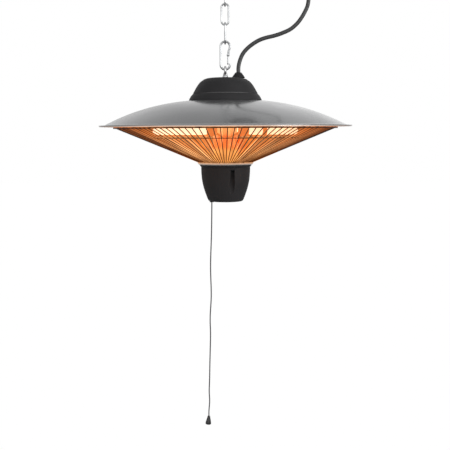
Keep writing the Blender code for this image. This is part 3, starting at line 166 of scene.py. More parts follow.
def turned(name, outline, steps, at=(0, 0), rim=RIM, degrees=32):
    """A turned form: an outline of radii and heights, spun round an upright axis."""
    draw_line([Vector((at[0] + radius, at[1], rim + height)) for radius, height in outline])
    bpy.ops.mesh.spin(steps=steps, angle=FULL, center=(*at, 0), axis=(0, 0, 1))
    clean()
    return smooth(named(name), degrees)


def slab(name, outline, low, high, upright=False):
    """A flat outline, filled and extruded between two places: along z, or along y if it stands upright."""

    def lay(a, b, c):
        return Vector((a, c, b) if upright else (a, b, c))

    draw_line([lay(a, b, low) for a, b in outline])
    bpy.ops.mesh.edge_face_add()
    bpy.ops.mesh.extrude_region_move(TRANSFORM_OT_translate={"value": lay(0, 0, high - low)})
    clean()
    return named(name)


def modify(obj, kind, **values):
    """A modifier with these values, applied at once."""
    pick(obj)
    bpy.ops.object.modifier_add(type=kind)
    modifier = obj.modifiers[-1]
    for key, value in values.items():
        setattr(modifier, key, value)
    bpy.ops.object.modifier_apply(modifier=modifier.name)


def round_edges(obj, width, segments):
    """A bevel on the sharp edges."""
    sharp = math.radians(30)
    modify(obj, "BEVEL", width=width, segments=segments, limit_method="ANGLE", angle_limit=sharp)
    return smooth(obj, 40)


def cut_away(obj, tool):
    """The tool's shape is taken off the object."""
    modify(obj, "BOOLEAN", object=tool, operation="DIFFERENCE", solver="EXACT")
    pick(tool)
    bpy.ops.object.delete()
    pick(obj)


def tube(name, points, radius, sides, ring=False, radii=None):
    """A round wire along the points, as a mesh; radii makes it thinner or thicker at each point."""
    pick()
    bpy.ops.curve.primitive_nurbs_path_add()
    curve = bpy.context.object.data
    curve.splines.clear()
    spline = curve.splines.new("POLY")
    spline.points.add(len(points) - 1)
    for knot, point, thick in zip(spline.points, points, radii or [1] * len(points)):
        knot.co, knot.radius = (*point, 1), thick
    spline.use_cyclic_u = ring
    curve.dimensions, curve.twist_mode = "3D", "MINIMUM"
    curve.bevel_depth, curve.bevel_resolution = radius, sides // 2 - 2
    curve.use_fill_caps = not ring
    bpy.ops.object.convert(target="MESH")
    edit(named(name))
    clean()
    return smooth(bpy.context.object, 50)


def block(name, middle, size):
    """A box round its middle."""
    pick()
    bpy.ops.mesh.primitive_cube_add(size=1, location=middle)
    bpy.ops.transform.resize(value=size)
    bpy.ops.object.transform_apply()
    return named(name)


def joined(name, *objects):
    """The objects as one mesh under this name."""
    pick(*objects)
    bpy.ops.object.join()
    return named(name)


def copy_of(obj, name, height):
    """A copy with a mesh of its own, moved up by the height."""
    pick(obj)
    bpy.ops.object.duplicate()
    bpy.ops.transform.translate(value=(0, 0, height))
    bpy.ops.object.transform_apply()
    return named(name)


def turn_mesh(obj, matrix):
    """The mesh is turned and moved by the matrix, and the object stays at the origin."""
    obj.matrix_world = matrix @ obj.matrix_world
    pick(obj)
    bpy.ops.object.transform_apply()
    return obj


def between(start, end, steps):
    """Values at even steps, both ends among them."""
    return [start + (end - start) * step / steps for step in range(steps + 1)]


def spot_at(radius, angle):
    """The place on a circle round the upright axis, or round any other middle."""
    return radius * math.cos(angle), radius * math.sin(angle)


def on_ring(radius, angle, height):
    return Vector((*spot_at(radius, angle), RIM + height))


def arc(centre, radius, start, end, steps):
    """Points on an arc in a plane."""
    spots = [spot_at(radius, angle) for angle in between(start, end, steps)]
    return [(centre[0] + a, centre[1] + b) for a, b in spots]


def scaled(shares, wide, tall, base=0.0):
    """An outline from shares of its width and height."""
    return [(wide * across, base + tall * up) for across, up in shares]


def eased(points, steps):
    """A smooth curve through the points, with this many steps between each two."""
    points = [Vector(point) for point in points]
    padded = [2 * points[0] - points[1]] + points + [2 * points[-1] - points[-2]]
    curve = []
    for before, start, end, after in zip(padded, padded[1:], padded[2:], padded[3:]):
        for t in between(0, 1, steps)[:-1]:
            bend = (2 * before - 5 * start + 4 * end - after) * t**2
            twist = (3 * start - before - 3 * end + after) * t**3
            curve.append((2 * start + (end - before) * t + bend + twist) / 2)
    return curve + [points[-1]]


def evenly(points, spacing):
    """Points at even steps along a curve."""
    points = [Vector(point) for point in points]
    reach = [0]
    for before, after in zip(points, points[1:]):
        reach.append(reach[-1] + (after - before).length)
    result, index = [], 0
    for along in between(0, reach[-1], max(round(reach[-1] / spacing), 1)):
        while index < len(points) - 2 and reach[index + 1] < along:
            index += 1
        part = (along - reach[index]) / (reach[index + 1] - reach[index])
        result.append(points[index].lerp(points[index + 1], part))
    return result


def raised(points):
    """Points given from the rim, in the object's frame."""
    return [Vector(point) + Vector((0, 0, RIM)) for point in points]


def dress(obj, look, body, slot=None, *nodes):
    """The piece gets one of the finishes, rides on a body and stands for its CAD nodes."""
    obj.data.materials.clear()
    obj.data.materials.append(finish(look) if isinstance(look, str) else look)
    if body:
        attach(obj, body)
    if nodes:
        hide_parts(*nodes)
    return obj


# Materials


class Nodes:
    """A node tree that is built by short calls; a pattern's scale is in repeats a metre."""

    def __init__(self, tree):
        self.tree = tree

    def add(self, kind, settings=None, **inputs):
        node = self.tree.nodes.new(kind)
        for key, value in (settings or {}).items():
            setattr(node, key, value)
        for key, value in inputs.items():
            self.give(node, key.replace("_", " "), value)
        return node

    def give(self, node, key, value):
        socket = node.inputs[key]
        if isinstance(value, bpy.types.NodeSocket):
            self.tree.links.new(value, socket)
        elif isinstance(value, tuple) and len(value) == 3 and socket.type == "RGBA":
            socket.default_value = (*value, 1)
        else:
            socket.default_value = value

    def give_all(self, node, *values):
        """The values go to the node's inputs in their order."""
        for index, value in enumerate(values):
            self.give(node, index, value)
        return node

    def ramp(self, value, *stops):
        """Colours or greys along a value."""
        node = self.add("ShaderNodeValToRGB", Fac=value)
        elements = node.color_ramp.elements
        while len(elements) < len(stops):
            elements.new(0.5)
        for element, (position, colour) in zip(elements, stops):
            element.position = position
            element.color = (colour,) * 3 + (1,) if isinstance(colour, (int, float)) else (*colour, 1)
        return node.outputs[0]

    def sum(self, kind, *values):
        return self.give_all(self.add("ShaderNodeMath", {"operation": kind}), *values).outputs[0]

    def times(self, first, second):
        return self.sum("MULTIPLY", first, second)

    def spread(self, value, low, high, to_low=0.0, to_high=1.0):
        return self.give_all(self.add("ShaderNodeMapRange"), value, low, high, to_low, to_high).outputs[0]


class Finish(Nodes):
    """A material in the object's own coordinates."""

    def __init__(self, name, **values):
        self.material = bpy.data.materials.new(name)
        self.material.use_nodes = True
        super().__init__(self.material.node_tree)
        self.surface = self.tree.nodes["Principled BSDF"]
        self.place = self.add("ShaderNodeTexCoord").outputs["Object"]
        self.set(**values)

    def set(self, **values):
        for key, value in values.items():
            self.give(self.surface, key.replace("_", " "), value)

    def glow(self, colour, strength):
        self.set(Emission_Color=colour, Emission_Strength=strength)
        return self.material

    def noise(self, scale, detail, roughness=0.5, stretch=None):
        at = self.place
        if stretch:
            at = self.add("ShaderNodeMapping", Vector=at, Scale=stretch).outputs[0]
        grain = self.add("ShaderNodeTexNoise", Vector=at, Scale=scale, Detail=detail, Roughness=roughness)
        return grain.outputs[0]

    def patchy(self, low, high, scale=30.0, detail=3.0, stretch=None):
        """A soft noise that runs from low to high."""
        return self.spread(self.noise(scale, detail, stretch=stretch), 0.3, 0.7, low, high)

    def cells(self, scale):
        return self.add("ShaderNodeTexVoronoi", Vector=self.place, Scale=scale).outputs[0]

    def blend(self, factor, first, second):
        node = self.add("ShaderNodeMix", {"data_type": "RGBA"})
        for socket, value in zip((0, 6, 7), (factor, first, second)):
            self.give(node, socket, value)
        return node.outputs[2]

    def clouds(self, pattern, low, high, dark, light):
        """Two colours that part where the pattern passes from low to high."""
        return self.blend(self.ramp(pattern, (low, 0.0), (high, 1.0)), dark, light)

    def vector(self, kind, *values):
        node = self.give_all(self.add("ShaderNodeVectorMath", {"operation": kind}), *values)
        return node.outputs["Value" if kind == "DOT_PRODUCT" else "Vector"]

    def part(self, axis):
        """One of the object's own coordinates."""
        return self.add("ShaderNodeSeparateXYZ", Vector=self.place).outputs[axis]

    def level(self, low, high, to_low=0.0, to_high=1.0):
        """A value that changes with the height over the rim, between two heights."""
        return self.spread(self.part(2), RIM + low, RIM + high, to_low, to_high)

    def aside(self, near, far, to_near=0.0, to_far=1.0):
        """A value that changes with the distance to the left or right of the middle."""
        return self.spread(self.sum("ABSOLUTE", self.part(0)), near, far, to_near, to_far)

    def relief(self, height, strength, distance=0.0002):
        bump = self.add("ShaderNodeBump", Height=height, Strength=strength, Distance=distance)
        self.set(Normal=bump.outputs[0])

    def mix_shaders(self, factor, first, second):
        """The surface is the first shader where the factor is zero, and the second where it is one."""
        both = self.give_all(self.add("ShaderNodeMixShader"), factor, first, second)
        self.give(self.tree.nodes["Material Output"], "Surface", both.outputs[0])

    def white_to_camera(self, share):
        """Almost white in the picture, with a trace of the shadows; to the object it stays as it was."""
        seen = self.add("ShaderNodeLightPath").outputs["Is Camera Ray"]
        white = self.add("ShaderNodeEmission", Color=grey(1.0), Strength=1.04).outputs[0]
        self.mix_shaders(self.times(seen, share), self.surface.outputs[0], white)


def grey(level, blue=0.0):
    """A grey that is a little bluer by the given amount."""
    return (level, level, level + blue)


def moulded(name, light, dark, rough, grain=1400.0, relief=0.25, specular=0.5):
    """Moulded plastic: faint clouds in its colour, a fine grain, and duller and shinier patches."""
    look = Finish(name, Specular_IOR_Level=specular)
    look.set(Base_Color=look.clouds(look.noise(18.0, 4.0), 0.35, 0.65, dark, light))
    height = look.noise(grain, 2.0)
    look.set(Roughness=look.sum("MULTIPLY_ADD", height, 0.08, look.patchy(rough - 0.05, rough + 0.05, 60.0)))
    look.relief(height, relief)
    return look


def cap_plastic(light, dark):
    """The cap's plastic, with a painted highlight: a paler line along its groove, near the middle from left
    to right.
    """
    look = moulded("cap_plastic", light, dark, 0.55, specular=0.15)
    plain_colour = look.surface.inputs["Base Color"].links[0].from_socket
    # Painted highlight: the groove's line is paler only within a few centimetres of the middle
    line = look.ramp(look.level(0.0530, 0.0548), (0.1, 0.0), (0.3, 1.0), (0.7, 1.0), (0.9, 0.0))
    painted_highlight = look.times(line, look.aside(0.026, 0.046, 1.0, 0.0))
    look.set(Base_Color=look.blend(painted_highlight, plain_colour, grey(0.16)))
    return look.material


def metal(name, light, dark, rough, stretch=None, grain=700.0, relief=0.15, metallic=1.0):
    """Bare or plated metal: cloudy tone, drawn or fine grain, and small scuffs that are duller."""
    look = Finish(name, Metallic=metallic)
    tone = look.clouds(look.noise(45.0, 5.0, 0.6), 0.35, 0.68, dark, light)
    height = look.noise(grain, 3.0, 0.6, stretch)
    scuffs = look.ramp(look.cells(260.0), (0.06, 1.0), (0.16, 0.0))
    look.set(Base_Color=look.blend(look.times(scuffs, 0.35), tone, dark))
    low = look.spread(height, 0.3, 0.7, rough - 0.07, rough + 0.09)
    look.set(Roughness=look.sum("MULTIPLY_ADD", scuffs, 0.12, low))
    look.relief(height, relief)
    return look


def shade_paint():
    """Silver-grey enamel with flakes, a fine orange peel and a thin clear coat; a painted glow stands for the
    lamp's light on its edge.
    """
    look = Finish("shade_enamel", Metallic=0.75, Coat_Weight=0.3, Coat_Roughness=0.08)
    flakes = look.cells(2600.0)
    tone = look.clouds(look.noise(9.0, 4.0), 0.3, 0.7, (0.285, 0.287, 0.292), (0.315, 0.317, 0.322))
    look.set(Base_Color=look.blend(look.times(flakes, 0.22), tone, (0.42, 0.43, 0.44)))
    look.set(Roughness=look.patchy(0.20, 0.27))
    look.relief(look.noise(420.0, 2.0), 0.12)
    # Painted light: a warm glow under the rolled edge, fainter towards the left and right
    underside = look.level(-0.0013, 0.0002, 1.0, 0.0)
    near = look.aside(0.12, 0.19, 1.0, 0.25)
    return look.glow((1.0, 0.70, 0.55), look.times(look.times(underside, near), 0.9))


def grille_steel():
    """Heat-darkened wire with the lamp's light painted on as a glow, on the side that faces into the guard.
    """
    look = metal("guard_wire", (0.085, 0.030, 0.013), (0.045, 0.016, 0.008), 0.45, grain=900.0, metallic=0.8)
    # Painted light: the glow is strongest on faces turned towards the lamp and low in the guard, in soft
    # streaks
    outward = look.vector("NORMALIZE", look.vector("MULTIPLY", look.place, (1.0, 1.0, 0.0)))
    lamp_way = look.vector("MULTIPLY_ADD", outward, (-0.39, -0.39, 0.0), (0.0, 0.0, 0.92))
    facing = look.vector("DOT_PRODUCT", look.add("ShaderNodeTexCoord").outputs["Normal"], lamp_way)
    painted_glow_by_height = look.ramp(
        look.level(-0.063, 0.0), (0.0, 1.0), (0.35, 0.95), (0.62, 0.70), (0.85, 0.55), (1.0, 0.4)
    )
    around = look.add("ShaderNodeTexNoise", Vector=outward, Scale=26.0, Detail=2.0).outputs[0]
    streaks = look.ramp(around, (0.36, 0.25), (0.5, 0.8), (0.62, 1.7))
    strength = look.times(look.times(painted_glow_by_height, look.spread(facing, -0.6, 0.35)), streaks)
    # Painted light: the inner ring glows pale orange whichever way it faces, and the wires' glow turns redder
    # to the left and right
    ring = look.ramp(look.level(-0.0630, -0.0605), (0.0, 1.0), (0.5, 0.9), (0.7, 0.0))
    redder = look.blend(look.aside(0.07, 0.16), (1.0, 0.46, 0.17), (1.0, 0.28, 0.075))
    colour = look.blend(ring, redder, (1.0, 0.66, 0.46))
    return look.glow(colour, look.sum("MAXIMUM", strength, look.times(ring, 0.7)))


def glass():
    """The hot envelope of the heating tube, paler at its left and with faint rings of bloom."""
    look = Finish("hot_quartz", Base_Color=(0.95, 0.86, 0.72), Roughness=0.12)
    side = look.ramp(look.spread(look.part(0), -0.12, 0.12), (0.0, 1.0), (0.55, 0.85), (1.0, 0.45))
    colour = look.blend(side, (1.0, 0.55, 0.28), (1.0, 0.86, 0.62))
    return look.glow(colour, look.patchy(0.85, 1.15, 160.0, 2.0, (1, 1, 0.3)))


def hot_wire():
    look = Finish("hot_filament", Base_Color=(0.6, 0.3, 0.1), Roughness=0.5)
    rings = {"wave_type": "RINGS", "rings_direction": "Z"}
    coils = look.add("ShaderNodeTexWave", rings, Vector=look.place, Scale=300.0).outputs[0]
    return look.glow((1.0, 0.72, 0.38), look.spread(coils, 0.0, 1.0, 2.0, 5.0))


def stem_with_painted_reflection():
    """The stem inside the guard, with the lamp's reflection painted on as a glow: red behind the tube and
    yellow at its foot.
    """
    look = metal("lamp_lit_stem", (0.35, 0.30, 0.26), (0.22, 0.17, 0.14), 0.3, (1, 1, 0.2))
    colour = look.ramp(
        look.level(-0.060, 0.0),
        (0.0, (0.85, 0.33, 0.075)), (0.30, (0.95, 0.38, 0.09)), (0.42, (1.0, 0.18, 0.03)),
        (0.70, (1.0, 0.12, 0.02)), (0.80, (1.0, 0.28, 0.07)), (1.0, (1.0, 0.42, 0.14)),
    )
    # The painted reflection fades out just above the rim
    inside = look.level(0.004, 0.014, 1.0, 0.0)
    return look.glow(colour, look.times(look.patchy(0.6, 1.1, 120.0, 2.0, (1, 1, 0.15)), inside))


def reflector_sheet():
    """Polished aluminium, lightly spun, with the lamp's light painted on as a faint orange glow in patches.
    """
    look = metal("polished_aluminium", (0.90, 0.88, 0.84), (0.72, 0.69, 0.64), 0.20, (1, 1, 12.0), 500.0)
    # Painted light: an orange glow in soft patches
    warm = look.ramp(look.patchy(0.0, 1.0, 12.0), (0.0, 0.10), (1.0, 0.22))
    return look.glow((1.0, 0.45, 0.16), warm)


def cord_jacket():
    """Rubber jacket with a dull shine, a fine grain and dusty patches."""
    look = Finish("rubber_jacket", Specular_IOR_Level=0.6)
    dust = look.noise(55.0, 5.0, 0.65)
    look.set(Base_Color=look.clouds(dust, 0.42, 0.75, grey(0.045, 0.001), grey(0.070, 0.002)))
    fine = look.noise(2400.0, 2.0)
    look.set(Roughness=look.spread(fine, 0.3, 0.7, 0.30, 0.40))
    look.relief(fine, 0.3)
    return look.material


def braid():
    """Plaited polyester cord: two sets of crossing strands."""
    look = Finish("plaited_cord", Specular_IOR_Level=0.3)
    strands = 2600.0
    up = look.times(look.part(2), strands)
    side = look.times(look.sum("ADD", look.part(0), look.part(1)), strands)
    one, other = (look.sum("SINE", look.sum(kind, up, side)) for kind in ("ADD", "SUBTRACT"))
    tone = look.spread(look.sum("MAXIMUM", one, other), -1.0, 1.0)
    look.set(Base_Color=look.blend(tone, grey(0.03, 0.002), grey(0.10, 0.005)), Roughness=0.75)
    look.relief(tone, 0.6, 0.0003)
    return look.material


def gloss_black():
    look = Finish("gloss_black", Specular_IOR_Level=0.6, Coat_Weight=0.5, Coat_Roughness=0.08)
    swirl = look.noise(140.0, 3.0)
    look.set(Base_Color=look.blend(swirl, grey(0.012, 0.001), grey(0.024, 0.002)))
    look.set(Roughness=look.patchy(0.16, 0.26, 500.0))
    look.relief(swirl, 0.08)
    return look.material


def make_materials():
    orange = (1.0, 0.24, 0.05)
    zinc = metal("galvanised_steel", (0.73, 0.74, 0.75), (0.47, 0.48, 0.49), 0.17, grain=380.0, relief=0.2)
    satin = metal("satin_zinc", grey(0.90), grey(0.74, 0.01), 0.42, grain=500.0, relief=0.08)
    chrome = metal("bright_chrome", (0.93, 0.92, 0.91), (0.80, 0.79, 0.78), 0.30, grain=500.0, relief=0.05)
    ceramic = moulded("steatite", (0.62, 0.47, 0.34), (0.50, 0.36, 0.25), 0.62, 1800.0, 0.35)
    plastic = moulded("charcoal_plastic", (0.037, 0.0362, 0.038), (0.028, 0.0274, 0.029), 0.55, specular=0.15)
    sleeve = moulded("glass_sleeve", (0.38, 0.24, 0.14), (0.26, 0.15, 0.09), 0.7, 2200.0, 0.6)
    return {
        "paint": shade_paint(),
        "zinc": zinc.material,
        "satin_zinc": satin.material,
        "chrome": chrome.material,
        "wire": grille_steel(),
        "glass": glass(),
        "filament": hot_wire(),
        # End pieces: the lamp's light painted on as an orange glow
        "ceramic": ceramic.glow((1.0, 0.30, 0.08), 0.42),
        "reflector": reflector_sheet(),
        "stem": stem_with_painted_reflection(),
        # Spider and tube clips: the lamp's light painted on as an orange glow
        "painted_glow_steel": metal("lamp_lit_steel", (0.55, 0.50, 0.45), (0.36, 0.31, 0.27), 0.34).glow(orange, 0.45),
        "black_steel": metal(
            "blackened_steel", grey(0.05, 0.003), grey(0.03, 0.002), 0.34, grain=500.0
        ).material,
        "plastic": plastic.material,
        "cap": cap_plastic((0.043, 0.042, 0.044), (0.033, 0.0325, 0.034)),
        "white": moulded("white_nylon", (0.80, 0.80, 0.78), (0.72, 0.72, 0.69), 0.42).material,
        "jacket": cord_jacket(),
        "braid": braid(),
        "gloss": gloss_black(),
        # Lead sleeves: the lamp's light painted on as an orange glow
        "sleeve": sleeve.glow(orange, 0.5),
        "pins": metal("nickel_brass", (0.83, 0.80, 0.72), (0.66, 0.62, 0.52), 0.2, (1, 1, 6.0)).material,
    }


MATERIALS = {}


def finish(name):
    """One of the finishes; all are made the first time that one is asked for."""
    if not MATERIALS:
        MATERIALS.update(make_materials())
    return MATERIALS[name]


# Sizes


class StageSizes(bpy.types.PropertyGroup):
    """Camera, lamps, floor and the glow inside the guard."""

    eye: place("Camera place", "Where the camera stands", (-0.0015, -1.35, -0.37005))
    pitch: turn("Camera pitch", "How far the camera looks down", 6.76)
    roll: turn("Camera roll", "How far the camera leans to its right", 0.24)
    focal: amount("Focal length", "Focal length in millimetres", 63.19)
    floor: length("Floor depth", "How far the floor lies under the ceiling", 2.4)
    floor_size: length("Floor width", "Width of the floor", 60.0)
    around: share("Surroundings", "How brightly the white surroundings light the heater", 0.70)
    key: power("Left lamp", "Power of the large lamp at the left", 6.0)
    fill: power("Right lamp", "Power of the large lamp at the right", 19.0)
    inside: power("Inside lamps", "Power of each lamp under the heating tube", 0.025)


class CordSizes(bpy.types.PropertyGroup):
    """The mains lead, its coil and plug, and the pull cord."""

    radius: length("Lead radius", "Radius of the mains lead", 0.0034)
    coil_radius: length("Coil radius", "Mean radius of the coil's turns", 0.0345)
    coil_step: length("Coil step", "Space from turn to turn and from layer to layer", 0.0073)
    coil_layers: number("Coil layers", "Layers of turns", 4)
    coil_turns: number("Coil turns", "Whole turns in the coil", 5)
    coil_start: turn("Coil start", "Angle at which the lead joins the coil", 60.0)
    coil_end: turn("Coil end", "Angle at which the lead leaves the coil", 315.0)
    coil_centre: place("Coil centre", "Middle of the coil, from the rim", (0.053709, 0.0, 0.265109))
    tail: length("Tail", "Lead between the coil and the plug", 0.0165)
    plug_radius: length("Plug radius", "Radius of the plug's face", 0.0170)
    plug_length: length("Plug length", "Length of the plug's body", 0.0360)
    pin_radius: length("Pin radius", "Radius of a plug pin", 0.0024)
    pin_length: length("Pin length", "Length of a plug pin", 0.0190)
    pull_radius: length("Pull cord radius", "Radius of the pull cord", 0.0010)
    bead_radius: length("Bead radius", "Radius of the bead's skirt", 0.0050)
    bead_height: length("Bead height", "Height of the bead", 0.0152)
    bead_lean: turn("Bead lean", "How far the bead hangs askew", 5.0)


class CoverSizes(bpy.types.PropertyGroup):
    """Shade, cap, collar and lower housing."""

    shade_radius: length("Shade radius", "Radius to the outside of the rolled edge", 0.2125)
    sheet: length("Shade sheet", "Thickness of the shade", 0.0010)
    bead: length("Rolled edge", "Radius of the rolled edge", 0.0012)
    dome_radius: length("Dome radius", "Radius where the dome meets its flat edge", 0.2050)
    dome_rise: length("Dome rise", "Height of the dome", 0.0440)
    dome_power: amount("Dome roundness", "How square the dome's outline is", 2.5)
    hole: length("Shade hole", "Radius of the hole at the top", 0.0203)
    cap_radius: length("Cap radius", "Radius of the top cap at its base", 0.0615)
    cap_top: length("Cap top", "Height of the cap's top over the rim", 0.0800)
    cap_wall: length("Cap wall", "Wall of the cap", 0.0020)
    cap_groove: length("Cap groove", "Height of the groove round the cap", 0.0538)
    cup_radius: length("Cup radius", "Radius of the lower housing's lip", 0.0438)
    cup_height: length("Cup height", "Height of the lower housing", 0.0629)
    cup_wall: length("Cup wall", "Wall of the lower housing", 0.0022)
    well_radius: length("Well radius", "Radius of a screw well", 0.0045)
    well_circle: length("Well circle", "Radius of the circle of screw wells", 0.0385)
    well_angle: turn("Well angle", "Angle of the first screw well", -74.0)
    collar_radius: length("Collar radius", "Radius of the collar ring", 0.0466)


class GuardSizes(bpy.types.PropertyGroup):
    """The wire guard, the reflector and the heating tube."""

    wires: number("Wires", "Number of wires in the guard", 108)
    wire: length("Wire", "Thickness of a wire", 0.0016)
    first: turn("First wire", "Angle of the wire nearest the front", -89.1)
    outer: length("Outer ring", "Inner radius of the outer ring", 0.1845)
    inner: length("Inner ring", "Inner radius of the inner ring", 0.0456)
    depth: length("Guard depth", "How far the guard reaches under the rim", 0.0629)
    lift: length("Lift", "How far the wires' lower ends lie over the inner ring's underside", 0.0013)
    top: length("Guard top", "How far the wires' upper ends lie under the rim", 0.0042)
    hoop: length("Hoop", "Radius of the hoop in the middle of the guard", 0.1400)
    tube_middle: length("Tube ring", "Radius of the heating tube's ring", 0.1165)
    tube_radius: length("Tube radius", "Radius of the glass", 0.0060)
    tube_height: length("Tube height", "Height of the heating tube from the rim", -0.0082)
    tube_start: turn("Tube start", "Angle of the tube's first end", -72.5)
    tube_end: turn("Tube end", "Angle of the tube's other end", 256.0)
    ceramic_radius: length("Ceramic radius", "Radius of an end piece", 0.0080)
    ceramic_length: length("Ceramic length", "Length of an end piece", 0.0140)


class HangingSizes(bpy.types.PropertyGroup):
    """Eye bolt, snap hook, chain and ceiling hook."""

    eye_radius: length("Eye radius", "Outer radius of the eye", 0.0080)
    eye_wire: length("Eye wire", "Thickness of the eye's wire", 0.0042)
    eye_height: length("Eye height", "Height of the eye's middle over the rim", 0.0924)
    nut_flats: length("Nut width", "Width across a nut's flats", 0.0080)
    nut_height: length("Nut height", "Height of a nut", 0.0038)
    snap_width: length("Snap hook width", "Outer width of the snap hook", 0.0190)
    snap_wire: length("Snap hook wire", "Thickness of the snap hook", 0.0035)
    snap_low: length("Snap hook bottom", "Lowest point of its wire's middle over the rim", 0.09415)
    snap_high: length("Snap hook top", "Highest point of its wire's middle over the rim", 0.14045)
    gate_length: length("Gate length", "Length of the gate from its pin", 0.0159)
    gate_wire: length("Gate wire", "Thickness of the gate", 0.0026)
    link_length: length("Link length", "Outer length of a link", 0.0372)
    link_width: length("Link width", "Outer width of a link", 0.0148)
    link_wire: length("Link wire", "Thickness of a link's wire", 0.0030)
    lowest_link: length("Lowest link", "Height of the lowest link's middle over the rim", 0.1540)
    pitch: length("Link pitch", "Height from link to link", 0.0309)
    links: number("Links", "Links under the top one", 5)
    hook_wire: length("Hook wire", "Thickness of the ceiling hook", 0.0045)
    hook_loop: length("Hook loop", "Radius of the ceiling hook's loop", 0.0110)
    plate_radius: length("Plate radius", "Radius of the ceiling plate", 0.0300)
    plate_sheet: length("Plate sheet", "Thickness of the ceiling plate", 0.0040)


# Stage


def lamp(name, kind, place_at, towards, **values):
    """A lamp of this kind that shines from one place towards another."""
    aim = (Vector(towards) - Vector(place_at)).to_track_quat("-Z", "Y").to_euler()
    bpy.ops.object.light_add(type=kind, location=place_at, rotation=aim)
    obj = named(name)
    for key, value in values.items():
        setattr(obj.data, key, value)
    return obj


def white_world(strength):
    """White to the camera and through glass; to light and gloss, bright round the horizon, dull overhead."""
    world = bpy.context.scene.world or bpy.data.worlds.new("surroundings")
    bpy.context.scene.world = world
    world.use_nodes = True
    world.node_tree.nodes.clear()
    sky = Nodes(world.node_tree)
    way = sky.add("ShaderNodeSeparateXYZ", Vector=sky.add("ShaderNodeTexCoord").outputs["Generated"]).outputs
    rings = sky.ramp(
        sky.sum("MULTIPLY_ADD", way["Z"], 0.5, 0.5),
        (0.0, 0.25), (0.32, 0.40), (0.47, 1.0), (0.57, 1.0), (0.72, 0.84), (0.86, 0.62), (1.0, 0.55),
    )
    sides = sky.ramp(
        sky.sum("MULTIPLY_ADD", way["X"], 0.5, 0.5),
        (0.0, 0.80), (0.04, 0.42), (0.16, 0.42), (0.24, 0.95), (0.36, 0.92), (0.43, 0.82), (0.50, 0.93),
        (0.57, 1.16), (0.63, 1.10), (0.74, 1.0), (0.84, 0.68), (0.96, 0.64), (1.0, 0.9),
    )
    room = sky.times(rings, sides)
    ray = sky.add("ShaderNodeLightPath").outputs

    def either(factor, first, second):
        node = sky.add("ShaderNodeMix")
        for socket, value in zip((0, 2, 3), (factor, first, second)):
            sky.give(node, socket, value)
        return node.outputs[0]

    lit = either(ray["Is Glossy Ray"], sky.times(room, strength), sky.times(room, 0.95))
    level = either(sky.sum("MAXIMUM", ray["Is Camera Ray"], ray["Is Transmission Ray"]), lit, 1.0)
    white = sky.add("ShaderNodeBackground", Color=grey(1.0), Strength=level).outputs[0]
    sky.add("ShaderNodeOutputWorld", Surface=white)


def camera(sizes):
    """The photograph's view: nearly level with the rim, a little above the guard's middle."""
    down, lean = sizes.pitch, sizes.roll
    ahead = Vector((0, math.cos(down), -math.sin(down)))
    up = Vector((0, math.sin(down), math.cos(down)))
    right = Vector((1, 0, 0))
    side = right * math.cos(lean) - up * math.sin(lean)
    top = right * math.sin(lean) + up * math.cos(lean)
    aim = Matrix((side, top, -ahead)).transposed()
    bpy.ops.object.camera_add(location=sizes.eye, rotation=aim.to_euler())
    obj = named("camera")
    obj.data.lens, obj.data.sensor_width = sizes.focal, 36.0
    obj.data.clip_start, obj.data.clip_end = 0.01, 50.0
    bpy.context.scene.camera = obj


def glow_shell():
    """A painted glow of the lamp's light filling the guard: a sheet seen from inside only, so it never hides
    the near wires.
    """
    glow = Finish("glow")
    reach = 0.19
    side = glow.ramp(
        glow.spread(glow.part(0), -reach, reach),
        (0.0, (0.48, 0.10, 0.016)), (0.12, (0.80, 0.19, 0.032)), (0.28, (1.0, 0.27, 0.055)),
        (0.42, (1.05, 0.24, 0.04)), (0.48, (1.0, 0.13, 0.016)), (0.56, (1.0, 0.12, 0.014)),
        (0.62, (1.0, 0.24, 0.04)), (0.78, (0.86, 0.22, 0.045)), (0.90, (0.78, 0.18, 0.032)),
        (1.0, (0.46, 0.09, 0.016)),
    )
    height = glow.level(-0.062, -0.004)
    warm = glow.blend(glow.ramp(height, (0.10, 1.0), (0.42, 0.0)), side, (1.05, 0.42, 0.085))
    low = glow.ramp(height, (0.0, 1.0), (0.35, 1.0), (0.65, 0.95), (0.85, 1.05), (1.0, 0.8))
    rays = glow.spread(glow.noise(46.0, 3.0, 0.6, (1.0, 1.0, 0.25)), 0.3, 0.7, 0.65, 1.3)
    light = glow.add("ShaderNodeEmission", Color=warm, Strength=glow.times(low, rays)).outputs[0]
    clear = glow.add("ShaderNodeBsdfTransparent").outputs[0]
    glow.mix_shaders(glow.add("ShaderNodeNewGeometry").outputs["Backfacing"], clear, light)
    glow.tree.nodes.remove(glow.surface)
    guard = bpy.context.scene.heater_guard
    middle = guard.wire / 2
    low_end = (guard.inner - WIRE_SEAT, -guard.depth + middle)
    high_end = (guard.outer - WIRE_SEAT, -guard.top + middle)
    shell = turned("glow_in_guard", [low_end, high_end], 96)
    dress(shell, glow.material, "heater")


